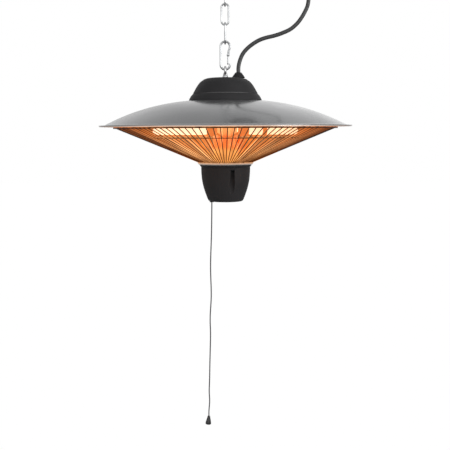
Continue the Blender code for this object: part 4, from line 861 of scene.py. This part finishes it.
class HEATER_OT_stage(bpy.types.Operator):
    """Camera, lamps, floor, white surroundings and the glow in the guard"""

    bl_idname = "heater.stage"
    bl_label = "Stage"

    def execute(self, context):
        sizes = context.scene.heater_stage
        camera(sizes)
        white_world(sizes.around)
        middle = (0, 0, RIM)
        lamp("key_lamp", "AREA", (-1.5, -1.6, 0.5), middle, energy=sizes.key, shape="DISK", size=1.8)
        lamp("fill_lamp", "AREA", (1.8, -1.2, 0.1), middle, energy=sizes.fill, shape="DISK", size=1.6)
        pick()
        bpy.ops.mesh.primitive_plane_add(size=sizes.floor_size, location=(0, 0, -sizes.floor))
        bpy.ops.object.transform_apply()
        floor = named("floor")
        ground = Finish("pale_floor", Roughness=0.8)
        ground.set(Base_Color=ground.blend(ground.noise(6.0, 4.0), grey(0.60), grey(0.66)))
        ground.white_to_camera(0.95)
        dress(floor, ground.material, None)
        guard = context.scene.heater_guard
        inwards, drop = 0.02, 0.014
        for step, angle in enumerate(between(0, FULL, 6)[:-1], 1):
            spot = on_ring(guard.tube_middle - inwards, angle, guard.tube_height - drop)
            light = lamp(
                f"inside_lamp_{step}", "POINT", spot, (0, 0, -1),
                energy=sizes.inside, color=(1.0, 0.55, 0.25), shadow_soft_size=0.018,
            )
            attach(light, "heater")
        glow_shell()
        context.scene.view_settings.view_transform = "Standard"
        return {"FINISHED"}


# Mains lead and pull cord

LEAD_ROUTE = (
    (0.0221, 0.0, 0.0896), (0.0222, 0.0, 0.0983), (0.0243, 0.0010, 0.1079), (0.0285, 0.0020, 0.1184),
    (0.0350, 0.0030, 0.1271), (0.0448, 0.0040, 0.1355), (0.0568, 0.0050, 0.1428), (0.0685, 0.0065, 0.1471),
    (0.0836, 0.0080, 0.1508), (0.0977, 0.0100, 0.1557), (0.1108, 0.0115, 0.1620), (0.1218, 0.0130, 0.1715),
    (0.1292, 0.0140, 0.1812), (0.1346, 0.0145, 0.1906), (0.1390, 0.0150, 0.2002), (0.1408, 0.0150, 0.2110),
    (0.1414, 0.0150, 0.2240), (0.1385, 0.0150, 0.2410), (0.1295, 0.0145, 0.2600), (0.1150, 0.0135, 0.2770),
    (0.0990, 0.0123, 0.2885),
)
PULL_ROUTE = (
    (-0.0239, 0.0, -0.08265), (-0.0239, 0.0, -0.1150), (-0.0239, 0.0, -0.1290), (-0.0240, 0.0, -0.1400),
    (-0.0248, 0.0, -0.1827), (-0.0268, 0.0, -0.2403), (-0.0259, 0.0, -0.2914), (-0.0281, 0.0, -0.3322),
    (-0.0276, 0.0, -0.3626), (-0.0289, 0.0, -0.4076), (-0.0298, 0.0, -0.4438), (-0.0306, 0.0, -0.4638),
    (-0.0299, 0.0, -0.4821), (-0.0313, 0.0, -0.5000), (-0.0314, 0.0, -0.5088),
)


def along_coil(angle):
    return Vector((-math.sin(angle), 0, math.cos(angle)))


def coil_route(sizes, steps=24):
    """The coil's middle line, which goes in and out layer by layer, with a straight end at each side."""
    turns = sizes.coil_turns + (sizes.coil_end - sizes.coil_start) / FULL
    layer_turns = turns / sizes.coil_layers
    outer = sizes.coil_radius + sizes.coil_step * layer_turns / 2
    inner = outer - sizes.coil_step * layer_turns
    points = []
    for turned_by in between(0, turns, round(turns * steps)):
        radius = inner + (outer - inner) * abs(1 - turned_by / layer_turns % 2)
        climbed = 0
        for layer in range(1, sizes.coil_layers):
            start = layer * layer_turns - 0.25
            climbed += min(max((turned_by - start) / 0.5, 0), 1)
        depth = sizes.coil_step * ((sizes.coil_layers - 1) / 2 - climbed)
        across, up = spot_at(radius, sizes.coil_start + FULL * turned_by)
        points.append(Vector(sizes.coil_centre) + Vector((across, depth, up)))
    straight = 2 * sizes.radius
    first = points[0] - along_coil(sizes.coil_start) * straight
    return [first] + points + [points[-1] + along_coil(sizes.coil_end) * straight]


def lead_end(sizes):
    """Where the lead enters the plug."""
    return coil_route(sizes)[-1] + along_coil(sizes.coil_end) * (sizes.tail + 0.0006)


class HEATER_OT_mains_lead(bpy.types.Operator):
    """Mains lead in one run: out of the gland, along its bow, through the coil and on to the plug"""

    bl_idname = "heater.mains_lead"
    bl_label = "Mains lead"

    def execute(self, context):
        sizes = context.scene.heater_cord

        def run(steps, spacing, coil_steps):
            coil = coil_route(sizes, coil_steps)
            bow = evenly(eased(list(LEAD_ROUTE) + [coil[0]], steps), spacing)
            return raised(bow + coil[1:] + [lead_end(sizes)])

        lead = tube("mains_lead", run(steps=24, spacing=0.0045, coil_steps=72), sizes.radius, 18)
        dress(lead, "jacket", None, "cord", "power_cord", "power_cord_coil", "power_cord_tail")
        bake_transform(lead)
        route = run(steps=8, spacing=0.0136, coil_steps=24)
        return {"FINISHED"}


class HEATER_OT_gland(bpy.types.Operator):
    """Strain relief: a ribbed cone on the cap that grips the lead"""

    bl_idname = "heater.gland"
    bl_label = "Cord gland"

    def execute(self, context):
        outline = [(0.0, 0.0723), (0.0050, 0.0723), (0.0050, 0.0803), (0.0106, 0.0803), (0.0111, 0.0806)]
        outline += [(0.0111, 0.0811)]
        ribs, rib_pitch, notch, foot, tip, tall = 5, 0.00148, 0.00117, 0.01105, 0.00545, 0.0078
        for rib in range(ribs):
            low = 0.0815 + rib * rib_pitch
            wide = foot + (tip - foot) * (low - 0.0813) / tall
            neck = wide - notch
            outline += [(wide, low), (wide - 0.0006, low + 0.0007)]
            outline += [(neck, low + 0.00095), (neck, low + 0.0012)]
        outline += [(0.0052, 0.0891), (0.0048, 0.0893), (0.0, 0.0893)]
        gland = turned("gland_cone", outline, 48, at=LEAD_ROUTE[0][:2], degrees=40)
        dress(gland, "plastic", "heater", "black_plastic", "cord_gland")
        return {"FINISHED"}


class HEATER_OT_plug(bpy.types.Operator):
    """Two-pin plug on the lead's tail: grip, face and round pins"""

    bl_idname = "heater.plug"
    bl_label = "Plug"

    def execute(self, context):
        sizes = context.scene.heater_cord
        along = along_coil(sizes.coil_end)
        base = raised([lead_end(sizes)])[0]
        lay = Matrix.Translation(base) @ Matrix.Rotation(math.atan2(along.x, along.z), 4, "Y")
        shares = [(0.0, 0.0), (0.22, 0.0), (0.25, 0.06), (0.30, 0.30), (0.36, 0.36), (0.52, 0.42)]
        shares += [(0.72, 0.48), (0.90, 0.56), (0.985, 0.66), (1.0, 0.72), (1.0, 0.97), (0.97, 1.0)]
        shares += [(0.62, 1.0), (0.60, 0.985), (0.0, 0.985)]
        body = turned("plug", scaled(shares, sizes.plug_radius, sizes.plug_length), 48, rim=0.0, degrees=40)
        dress(turn_mesh(body, lay), "jacket", "chain", "rubber", "plug_body")
        low, high = sizes.plug_length - 0.0006, sizes.plug_length + 0.0003 + sizes.pin_length
        bare, apart = 0.0100, 0.0095
        sleeve = high - bare
        heights = [(0.0, low), (0.82, low), (0.82, sleeve), (1.0, sleeve), (1.0, high - 0.0012)]
        heights += [(0.72, high - 0.0002), (0.4, high), (0.0, high)]
        outline = [(sizes.pin_radius * across, height) for across, height in heights]
        pins = [turned("pin", outline, 24, at=(0, side * apart), rim=0.0) for side in (-1, 1)]
        dress(turn_mesh(joined("plug_pins", *pins), lay), "pins", "chain", "zinc", "plug_pin_1", "plug_pin_2")
        return {"FINISHED"}


class HEATER_OT_cord_tie(bpy.types.Operator):
    """Strap that holds the coil to the chain, with its buckle"""

    bl_idname = "heater.cord_tie"
    bl_label = "Cord tie"

    def execute(self, context):
        low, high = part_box("cord_tie")
        pick(frame["nodes"]["cord_tie"])
        bpy.ops.object.duplicate()
        strap = named("cord_tie_band")
        for key in [key for key in strap.keys() if key.startswith("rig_")]:
            del strap[key]
        bpy.ops.object.parent_clear(type="CLEAR_KEEP_TRANSFORM")
        edit(strap)
        clean(0.00001)
        round_edges(strap, 0.00035, 2)
        middle = (low + high) / 2
        buckle = block("buckle", (middle.x, low.y, middle.z), (0.0085, 0.0030, 0.0082))
        round_edges(buckle, 0.0009, 3)
        dress(joined("cord_tie_band", buckle, strap), "plastic", "chain", "rubber", "cord_tie")
        return {"FINISHED"}


class HEATER_OT_pull_cord(bpy.types.Operator):
    """Pull cord from the switch lever down to its bell-shaped bead"""

    bl_idname = "heater.pull_cord"
    bl_label = "Pull cord"

    def execute(self, context):
        sizes = context.scene.heater_cord
        route = raised(evenly(eased(PULL_ROUTE, 6), 0.006))
        cord = tube("pull_line", route, sizes.pull_radius, 10)
        dress(cord, "braid", "pull", "cord", "pull_cord")
        shares = [(0.0, 0.0), (0.26, 0.0), (0.42, 0.03), (0.50, 0.10), (0.53, 0.20), (0.62, 0.32)]
        shares += [(0.76, 0.48), (0.88, 0.66), (0.97, 0.82), (1.0, 0.90), (0.99, 0.95), (0.93, 0.985)]
        shares += [(0.84, 1.0), (0.60, 0.97), (0.0, 0.93)]
        outline = scaled(shares, sizes.bead_radius, -sizes.bead_height)
        bead = turned("pull_bell", outline, 40, rim=0.0, degrees=40)
        spot = raised(PULL_ROUTE[-1:])[0] - Vector((0, 0, 0.0003))
        turn_mesh(bead, Matrix.Translation(spot) @ Matrix.Rotation(sizes.bead_lean, 4, "Y"))
        dress(bead, "gloss", "pull", "black_plastic", "pull_bead")
        return {"FINISHED"}


# Shade, cap and housing

# Outlines of the cap and the cup, as shares of their radius and height from the foot and the lip
CAP_SHARES = (
    (1.0, 0.0), (0.995, 0.04), (0.950, 0.182), (0.904, 0.271), (0.842, 0.450), (0.779, 0.630),
    (0.696, 0.807), (0.624, 0.895), (0.579, 0.945), (0.500, 0.987), (0.430, 1.0),
)
CUP_SHARES = (
    (0.954, 0.075), (0.948, 0.21), (0.918, 0.428), (0.847, 0.645), (0.740, 0.863), (0.689, 0.946),
    (0.651, 0.973), (0.548, 0.989), (0.0, 1.0),
)
CUP_INSIDE_SHARES = ((0.952, 0.075), *CUP_SHARES[1:5])


def dome(sizes, radius):
    """Height of the dome's outside."""
    return sizes.sheet / 2 + sizes.dome_rise * (1 - (radius / sizes.dome_radius) ** sizes.dome_power)


class HEATER_OT_shade(bpy.types.Operator):
    """Pressed shade with its flat edge and rolled rim"""

    bl_idname = "heater.shade"
    bl_label = "Shade"

    def execute(self, context):
        sizes = context.scene.heater_cover
        lean = math.asin(sizes.sheet / 2 / sizes.bead)
        radii = between(sizes.hole, sizes.dome_radius, 34)
        outer = [(radius, dome(sizes, radius)) for radius in radii]
        inner = [(radius, dome(sizes, radius) - sizes.sheet) for radius in reversed(radii)]
        rolled = arc((sizes.shade_radius - sizes.bead, 0), sizes.bead, math.pi - lean, lean - math.pi, 14)
        shade = turned("shade_dome", outer + rolled + inner + outer[:1], 144)
        dress(shade, "paint", "heater", "shade_paint", "shade")
        return {"FINISHED"}


class HEATER_OT_reflector(bpy.types.Operator):
    """Aluminium dish over the heating tube"""

    bl_idname = "heater.reflector"
    bl_label = "Reflector"

    def execute(self, context):
        low, high, edge, sheet = -0.0008, 0.0262, 0.186, 0.0008
        curve = [(context.scene.heater_cover.hole, high), (edge * 0.54, high), (edge * 0.75, 0.0226)]
        curve += [(edge * 0.89, 0.0132), (edge, low)]
        dish = eased([(radius, 0, height) for radius, height in curve], 5)
        upper = [(point.x, min(point.z, high)) for point in dish] + [(0.204, low)]
        lower = [(radius, height - sheet) for radius, height in reversed(upper)]
        dish = turned("reflector_dish", upper + lower + upper[:1], 96, degrees=25)
        dress(dish, "reflector", "heater", "aluminium", "reflector")
        return {"FINISHED"}


class HEATER_OT_top_cap(bpy.types.Operator):
    """Moulded cap over the hanger, with its foot, groove and flat top"""

    bl_idname = "heater.top_cap"
    bl_label = "Top cap"

    def execute(self, context):
        sizes = context.scene.heater_cover
        base = dome(sizes, sizes.cap_radius) + 0.0003
        tall = sizes.cap_top - base
        groove = sizes.cap_groove
        outline = []
        for point in eased([(across, 0, up) for across, up in CAP_SHARES], 4):
            radius, height = sizes.cap_radius * point.x, base + tall * point.z
            if abs(height - groove) < 0.0009:
                continue
            if height > groove and outline and outline[-1][1] < groove:
                edge = outline[-1][0] + (radius - outline[-1][0]) * 0.5
                outline += [(edge + 0.0003, groove - 0.0005), (edge - 0.0004, groove - 0.0002)]
                outline += [(edge - 0.0004, groove + 0.0002), (edge - 0.0001, groove + 0.0005)]
            outline.append((radius, height))
        inside = ((0.53, 0.97), (0.660, 0.83), (0.809, 0.450), (0.917, 0.182), (0.967, 0.0))
        inner = scaled(inside, sizes.cap_radius, tall - sizes.cap_wall, base)
        outline += [(0.0, sizes.cap_top), (0.0, sizes.cap_top - sizes.cap_wall)] + inner + outline[:1]
        dress(turned("cap", outline, 96), "cap", "heater", "black_plastic", "top_cap")
        return {"FINISHED"}


class HEATER_OT_collar(bpy.types.Operator):
    """Bright ring between the guard and the lower housing"""

    bl_idname = "heater.collar"
    bl_label = "Collar ring"

    def execute(self, context):
        radius = context.scene.heater_cover.collar_radius
        hole, top, low = 0.0410, -0.0632, -0.0652
        outline = [(hole, top), (radius - 0.0005, top), (radius, top - 0.0004)]
        outline += [(radius - 0.0003, top - 0.0010), (radius - 0.0016, low + 0.0003), (radius - 0.0022, low)]
        outline += [(hole, low), (hole, top)]
        ring = turned("collar_band", outline, 96, degrees=50)
        dress(ring, "chrome", "heater", "chrome", "collar_ring")
        return {"FINISHED"}


def rod_outline(radius, low, high):
    return [(0.0, low), (radius, low), (radius, high), (0.0, high)]


def well_spots(sizes):
    """The middles of the three screw wells."""
    return [spot_at(sizes.well_circle, sizes.well_angle + FULL * step / 3) for step in range(3)]


class HEATER_OT_lower_housing(bpy.types.Operator):
    """Bell-shaped housing under the guard: lip, neck, three screw wells and the pull cord's hole"""

    bl_idname = "heater.lower_housing"
    bl_label = "Lower housing"

    def execute(self, context):
        sizes = context.scene.heater_cover
        radius, tall, wall, well = sizes.cup_radius, sizes.cup_height, sizes.cup_wall, sizes.well_radius
        top = -0.0655
        bottom, floor = top - tall, top - tall + wall
        roof, cord_hole = top - 0.0065, 0.0028
        lip = [(0.985, 0.0), (1.0, 0.008), (1.0, 0.022), (0.978, 0.035), (0.950, 0.058), (0.9485, 0.070)]
        body = eased([(across, 0, down) for across, down in CUP_SHARES], 4)
        shares = lip + [(max(point.x, 0.0), point.z) for point in body]
        housing = turned("housing_cup", [(0.0, top)] + scaled(shares, radius, -tall, top), 96)
        inside = [(across - wall, height) for across, height in scaled(CUP_INSIDE_SHARES, radius, -tall, top)]
        mouth, foot = inside[0][0], inside[-1][0] - 0.003
        outline = [(0.0, top + 0.001), (mouth, top + 0.001)] + inside + [(foot, floor), (0.0, floor)]
        cavity = turned("cavity", outline, 72)
        boss = rod_outline(well + wall, floor - 0.001, top + 0.002)
        for spot in well_spots(sizes):
            cut_away(cavity, turned("boss", boss, 40, at=spot))
        hole = rod_outline(cord_hole, bottom - 0.002, floor + 0.002)
        shaft = rod_outline(well, bottom - 0.001, roof)
        bores = [turned("cord_hole", hole, 24, at=PULL_ROUTE[0][:2])]
        bores += [turned("well", shaft, 40, at=spot) for spot in well_spots(sizes)]
        cut_away(housing, joined("bores", *bores))
        # The hollow comes last, because a cut through its thin walls can fail
        cut_away(housing, cavity)
        edit(housing)
        clean(0.000005)
        dress(smooth(housing, 28), "plastic", "heater", "black_plastic", "lower_housing")
        return {"FINISHED"}


def screw_head(name, spot, top, height, radius):
    """A pan head with a cross recess, its face down."""
    outline = [(0.0, top), (radius, top), (radius, top - height * 0.45), (radius * 0.86, top - height * 0.8)]
    outline += [(radius * 0.55, top - height), (0.0, top - height)]
    head = turned(name, outline, 32, at=spot)
    for wide, deep in ((1.2, 0.28), (0.28, 1.2)):
        size = (radius * wide, radius * deep, height * 0.9)
        cut_away(head, block("slot", (*spot, RIM + top - height), size))
    return smooth(head, 35)


class HEATER_OT_housing_screws(bpy.types.Operator):
    """Three screws in the wells of the lower housing"""

    bl_idname = "heater.housing_screws"
    bl_label = "Housing screws"

    def execute(self, context):
        for step, spot in enumerate(well_spots(context.scene.heater_cover), 1):
            head = screw_head("head", spot, top=-0.0723, height=0.0024, radius=0.0034)
            shank = turned("shank", rod_outline(0.0018, -0.0724, -0.0601), 20, at=spot)
            both = joined(f"well_screw_{step}", shank, head)
            dress(both, "black_steel", "heater", "black_steel", f"housing_screw_{step}")
        return {"FINISHED"}


# Guard and heating tube


def band(name, radius, bottom, width, tall):
    """A flat ring with chamfered edges, its inner radius and underside given."""
    edge, wide, top = 0.0004, radius + width, bottom + tall
    outline = [(radius, bottom + edge), (radius + edge, bottom), (wide - edge, bottom), (wide, bottom + edge)]
    outline += [(wide, top - edge), (wide - edge, top), (radius + edge, top), (radius, top - edge)]
    return turned(name, outline + outline[:1], 144, degrees=50)


class HEATER_OT_guard(bpy.types.Operator):
    """Wire guard: straight wires between an outer and an inner ring, and the hoop round their middle"""

    bl_idname = "heater.guard"
    bl_label = "Wire guard"

    def execute(self, context):
        sizes = context.scene.heater_guard
        thick = sizes.wire / 2
        outer, inner = sizes.outer - WIRE_SEAT, sizes.inner - WIRE_SEAT
        high, low = -sizes.top + thick, -sizes.depth + thick + sizes.lift
        rise = (high - low) / (outer - inner)
        across = [inner + step for step in (0.001, 0.006, 0.05, 0.1)]
        across += [outer - 0.006, outer - 0.001, outer + 0.002]
        heights = [low + rise * (radius - inner) for radius in across]
        heights[-1] -= 0.0008
        line = [on_ring(radius, sizes.first, height) for radius, height in zip(across, heights)]
        wires = tube("wires", line, thick, 8)
        edit(wires)
        bpy.ops.mesh.spin(steps=sizes.wires, dupli=True, angle=FULL, center=(0, 0, 0), axis=(0, 0, 1))
        clean()
        rings = [
            band("outer_band", sizes.outer, -sizes.top, width=0.0045, tall=0.0023),
            band("inner_band", sizes.inner, -sizes.depth, width=0.0018, tall=0.0022),
        ]
        guard = smooth(joined("guard_wires", wires, *rings), 50)
        dress(guard, "wire", "heater", "guard_steel", "wire_grille")
        corner_low, corner_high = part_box("grille_hoop")
        level = (corner_low.z + corner_high.z) / 2 - RIM
        hoop = turned("guard_hoop", arc((sizes.hoop, level), thick, 0, FULL, 12), 144)
        dress(hoop, "wire", "heater", "guard_steel", "grille_hoop")
        return {"FINISHED"}


# An end piece's outline from the tube outwards: seat, two grooves and the mouth for the sleeve
CERAMIC_SHARES = (
    (0.0, 0.0), (0.78, 0.0), (0.86, 0.02), (0.90, 0.08), (0.90, 0.20), (0.82, 0.23), (0.82, 0.27),
    (0.96, 0.30), (1.0, 0.34), (1.0, 0.62), (0.96, 0.66), (0.84, 0.69), (0.84, 0.73), (0.94, 0.76),
    (0.94, 0.95), (0.88, 1.0), (0.30, 1.0), (0.28, 0.94), (0.0, 0.94),
)


class HEATER_OT_heating_tube(bpy.types.Operator):
    """Ring-shaped quartz tube and its ceramic end pieces"""

    bl_idname = "heater.heating_tube"
    bl_label = "Heating tube"

    def execute(self, context):
        sizes = context.scene.heater_guard
        angles = between(sizes.tube_start, sizes.tube_end, 96)
        line = [on_ring(sizes.tube_middle, angle, sizes.tube_height) for angle in angles]
        narrow = [0.86] + [1.0] * (len(line) - 2) + [0.86]
        pipe = tube("quartz_ring", line, sizes.tube_radius, 24, radii=narrow)
        dress(pipe, "glass", "heater", "quartz", "heating_tube")
        outline = scaled(CERAMIC_SHARES, sizes.ceramic_radius, sizes.ceramic_length)
        ends = ((line[0], angles[0], -1), (line[-1], angles[-1], 1))
        for step, (start, angle, way) in enumerate(ends, 1):
            end = turned(f"steatite_end_{step}", outline, 32, rim=0.0, degrees=35)
            ahead = Vector((-math.sin(angle), math.cos(angle), 0)) * way
            aim = ahead.to_track_quat("Z", "Y").to_matrix().to_4x4()
            turn_mesh(end, Matrix.Translation(start + ahead * 0.0003) @ aim)
            dress(end, "ceramic", "heater", "ceramic", f"ceramic_end_{step}")
        return {"FINISHED"}


# Chain and its fittings


class HEATER_OT_chain(bpy.types.Operator):
    """Welded links, each turned a quarter from the one before"""

    bl_idname = "heater.chain"
    bl_label = "Chain"

    def execute(self, context):
        sizes = context.scene.heater_hanging
        bend = (sizes.link_width - sizes.link_wire) / 2
        reach = (sizes.link_length - sizes.link_wire) / 2 - bend
        outline = arc((0, reach), bend, 0, math.pi, 14)
        outline += [(-bend, reach * part) for part in (0.5, 0.0, -0.5)]
        outline += arc((0, -reach), bend, math.pi, FULL, 14)
        outline += [(bend, reach * part) for part in (-0.5, 0.0, 0.5)]
        welded = [1.12 if point == (bend, 0.0) else 1.0 for point in outline]
        points = [Vector((across, 0, up)) for across, up in outline]
        facing = tube("link", points, sizes.link_wire / 2, 16, ring=True, radii=welded)
        edge_on = turn_mesh(copy_of(facing, "link_edge_on", 0), Matrix.Rotation(math.pi / 2, 4, "Z"))
        for step in range(sizes.links + 1):
            top = step == sizes.links
            source = facing if top or step % 2 else edge_on
            place_now = "top" if top else sizes.links - step
            link = copy_of(source, f"hung_link_{place_now}", RIM + sizes.lowest_link + step * sizes.pitch)
            body, node = ("upper_link", "top_link") if top else ("chain", f"chain_link_{place_now}")
            dress(link, "zinc", body, "zinc", node)
        pick(facing, edge_on)
        bpy.ops.object.delete()
        return {"FINISHED"}


class HEATER_OT_snap_hook(bpy.types.Operator):
    """Snap hook with its ears, and the sprung gate on its pin"""

    bl_idname = "heater.snap_hook"
    bl_label = "Snap hook"

    def execute(self, context):
        sizes = context.scene.heater_hanging
        half = (sizes.snap_width - sizes.snap_wire) / 2
        low, high = sizes.snap_low + half, sizes.snap_high - half
        pivot_x, pivot_z = 0.0049, high - 0.0144
        level = RIM + pivot_z
        line = [(half, low + 0.0020), (half, low + 0.0010)]
        line += arc((0, low), half, 0, -math.pi, 18) + arc((0, high), half, math.pi, 0, 18)
        line += [(half, high - 0.0020), (half - 0.0004, high - 0.0040), (half - 0.0022, high - 0.0085)]
        line += [(pivot_x, pivot_z + 0.0026)]
        body = tube("wire", raised([(x, 0, z) for x, z in line]), sizes.snap_wire / 2, 16)
        ear, eye, ear_height = 0.0026, 0.0023, 0.0050
        outline = arc((pivot_x, level), ear, math.pi, FULL, 12)
        outline += [(pivot_x + ear, level + ear_height), (pivot_x - 0.00085, level + ear_height)]
        sides = ((-0.00215, -0.00115), (0.00115, 0.00215))
        ears = [round_edges(slab("ear", outline, near, far, upright=True), 0.0002, 2) for near, far in sides]
        dress(joined("snap_hook_wire", *ears, body), "zinc", "chain", "zinc", "snap_hook")
        start = Vector((pivot_x, 0, level))
        end = Vector((pivot_x - 0.0006, 0, level - sizes.gate_length))
        steps = [start.lerp(end, part) for part in (0.0, 0.12, 0.22, 0.5, 0.86, 0.95, 1.0)]
        rod = tube("gate_rod", steps, sizes.gate_wire / 2, 16, radii=[0.62, 0.62, 1.0, 1.0, 1.0, 0.86, 0.5])
        outline = arc((pivot_x, level), eye, 0, FULL, 20)[:-1]
        knuckle = round_edges(slab("gate_eye", outline, -0.00085, 0.00085, upright=True), 0.0002, 2)
        dress(joined("sprung_gate", knuckle, rod), "zinc", "snap_gate", "zinc", "gate")
        ends = [Vector((pivot_x, y, level)) for y in (-0.0024, -0.0021, 0.0, 0.0021, 0.0024)]
        pin = tube("gate_rivet", ends, 0.0008, 16, radii=[1.2, 1.6, 1.0, 1.6, 1.2])
        dress(pin, "zinc", "chain", "zinc", "gate_pin")
        return {"FINISHED"}


class HEATER_OT_eye_bolt(bpy.types.Operator):
    """Eye bolt through the cap, with its nut"""

    bl_idname = "heater.eye_bolt"
    bl_label = "Eye bolt"

    def execute(self, context):
        sizes = context.scene.heater_hanging
        circle = arc((0, 0), sizes.eye_radius - sizes.eye_wire / 2, 0, FULL, 40)[:-1]
        ring = [Vector((0, a, RIM + sizes.eye_height + b)) for a, b in circle]
        eye = tube("eye", ring, sizes.eye_wire / 2, 16, ring=True)
        base = sizes.eye_height - sizes.eye_radius
        outline = [(0.0, base), (0.0035, base), (0.0037, base + 0.0003), (0.0037, base + 0.0024)]
        outline += [(0.0031, base + 0.0036), (0.0024, base + 0.0050), (0.0, base + 0.0052)]
        boss = turned("boss", outline, 32, degrees=40)
        shank = turned("shank", rod_outline(0.0025, 0.0567, base + 0.001), 24)
        dress(joined("eye_and_shank", boss, shank, eye), "satin_zinc", "heater", "zinc", "eye_bolt")
        high = RIM + base - 0.0003
        corners = arc((0, 0), sizes.nut_flats / math.sqrt(3), 0, FULL, 6)[:-1]
        nut = round_edges(slab("hex_nut", corners, high - sizes.nut_height, high), 0.0005, 2)
        dress(nut, "zinc", "heater", "zinc", "eye_nut")
        return {"FINISHED"}


class HEATER_OT_ceiling_fitting(bpy.types.Operator):
    """Ceiling plate with its boss and screw holes, and the open hook in it"""

    bl_idname = "heater.ceiling_fitting"
    bl_label = "Ceiling plate and hook"

    def execute(self, context):
        sizes = context.scene.heater_hanging
        radius, base = sizes.plate_radius, -sizes.plate_sheet
        outline = [(0.0, 0.0), (radius - 0.0003, 0.0), (radius, -0.0004), (radius, base + 0.0012)]
        outline += [(radius - 0.0004, base + 0.0004), (radius - 0.0014, base), (0.0072, base)]
        outline += [(0.0064, base - 0.0006), (0.0060, base - 0.0014), (0.0060, base - 0.0034)]
        outline += [(0.0054, base - 0.0040), (0.0, base - 0.0040)]
        plate = turned("plate_disc", outline, 72, rim=0.0)
        hole = [(0.0, 0.002), (0.0023, 0.002), (0.0023, base + 0.0016), (0.0044, base - 0.0006)]
        hole += [(0.0044, base - 0.002), (0.0, base - 0.002)]
        for across in (-0.020, 0.020):
            cut_away(plate, turned("hole", hole, 32, at=(across, 0.0), rim=0.0))
        dress(smooth(plate, 30), "zinc", "ceiling", "zinc", "ceiling_plate")
        loop = sizes.hook_loop
        level = -0.0395 + loop
        line = [(0, 0, -0.0023), (0, 0, -0.0083), (0, 0, level + loop + 0.0035)]
        line += [(0, y, z) for y, z in arc((0, level), loop, math.radians(160.0), math.radians(400.0), 14)]
        points = evenly(eased(line, 6), 0.0016)
        thick = [1.0] * (len(points) - 2) + [0.9, 0.6]
        hook = tube("open_hook", points, sizes.hook_wire / 2, 16, radii=thick)
        dress(hook, "zinc", "ceiling", "zinc", "ceiling_hook")
        return {"FINISHED"}


# Finishes, and the nodes of the frame that take them as they are
CARRIED_OVER = {
    "stem": ("stem_tube", "stem_foot"),
    "zinc": ("base_plate", "lock_nut", "hanger_bracket", "return_spring", "cord_ferrule"),
    "white": ("terminal_block", "switch_body", "switch_lever", "switch_rotor"),
    "filament": ("filament",),
    "sleeve": ("lead_sleeve_1", "lead_sleeve_2"),
    "painted_glow_steel": ("element_spider", "tube_clip_1", "tube_clip_2", "tube_clip_3"),
    "plastic": ("pull_cord_bush",),
}


class HEATER_OT_inner_parts(bpy.types.Operator):
    """Finishes of the parts inside the covers, whose shapes come from the frame"""

    bl_idname = "heater.inner_parts"
    bl_label = "Inner parts"

    def execute(self, context):
        for look, names in CARRIED_OVER.items():
            for name in names:
                materials = frame["nodes"][name].data.materials
                materials.clear()
                materials.append(finish(look))
        return {"FINISHED"}


# Panel and registration

GROUPS = {
    "heater_stage": StageSizes,
    "heater_cord": CordSizes,
    "heater_cover": CoverSizes,
    "heater_guard": GuardSizes,
    "heater_hanging": HangingSizes,
}
MAKERS = (
    HEATER_OT_stage, HEATER_OT_gland, HEATER_OT_plug, HEATER_OT_cord_tie, HEATER_OT_mains_lead,
    HEATER_OT_pull_cord, HEATER_OT_shade, HEATER_OT_reflector, HEATER_OT_top_cap, HEATER_OT_collar,
    HEATER_OT_lower_housing, HEATER_OT_housing_screws, HEATER_OT_guard, HEATER_OT_heating_tube,
    HEATER_OT_chain, HEATER_OT_snap_hook, HEATER_OT_eye_bolt, HEATER_OT_ceiling_fitting,
    HEATER_OT_inner_parts,
)


class HEATER_PT_panel(bpy.types.Panel):
    """The steps that make the heater, in order"""

    bl_idname = "HEATER_PT_panel"
    bl_label = "Hanging Patio Heater"
    bl_space_type = "VIEW_3D"
    bl_region_type = "UI"
    bl_category = "Heater"

    def draw(self, context):
        for maker in MAKERS:
            self.layout.operator(maker.bl_idname)


def register():
    for group in GROUPS.values():
        bpy.utils.register_class(group)
    for name, group in GROUPS.items():
        setattr(bpy.types.Scene, name, PointerProperty(type=group))
    for maker in (*MAKERS, HEATER_PT_panel):
        bpy.utils.register_class(maker)


def unregister():
    for maker in reversed((*MAKERS, HEATER_PT_panel)):
        bpy.utils.unregister_class(maker)
    for name in GROUPS:
        delattr(bpy.types.Scene, name)
    for group in reversed(GROUPS.values()):
        bpy.utils.unregister_class(group)


def main():
    register()
    for maker in MAKERS:
        family, step = maker.bl_idname.split(".")
        getattr(getattr(bpy.ops, family), step)()


if __name__ == "__main__":
    main()
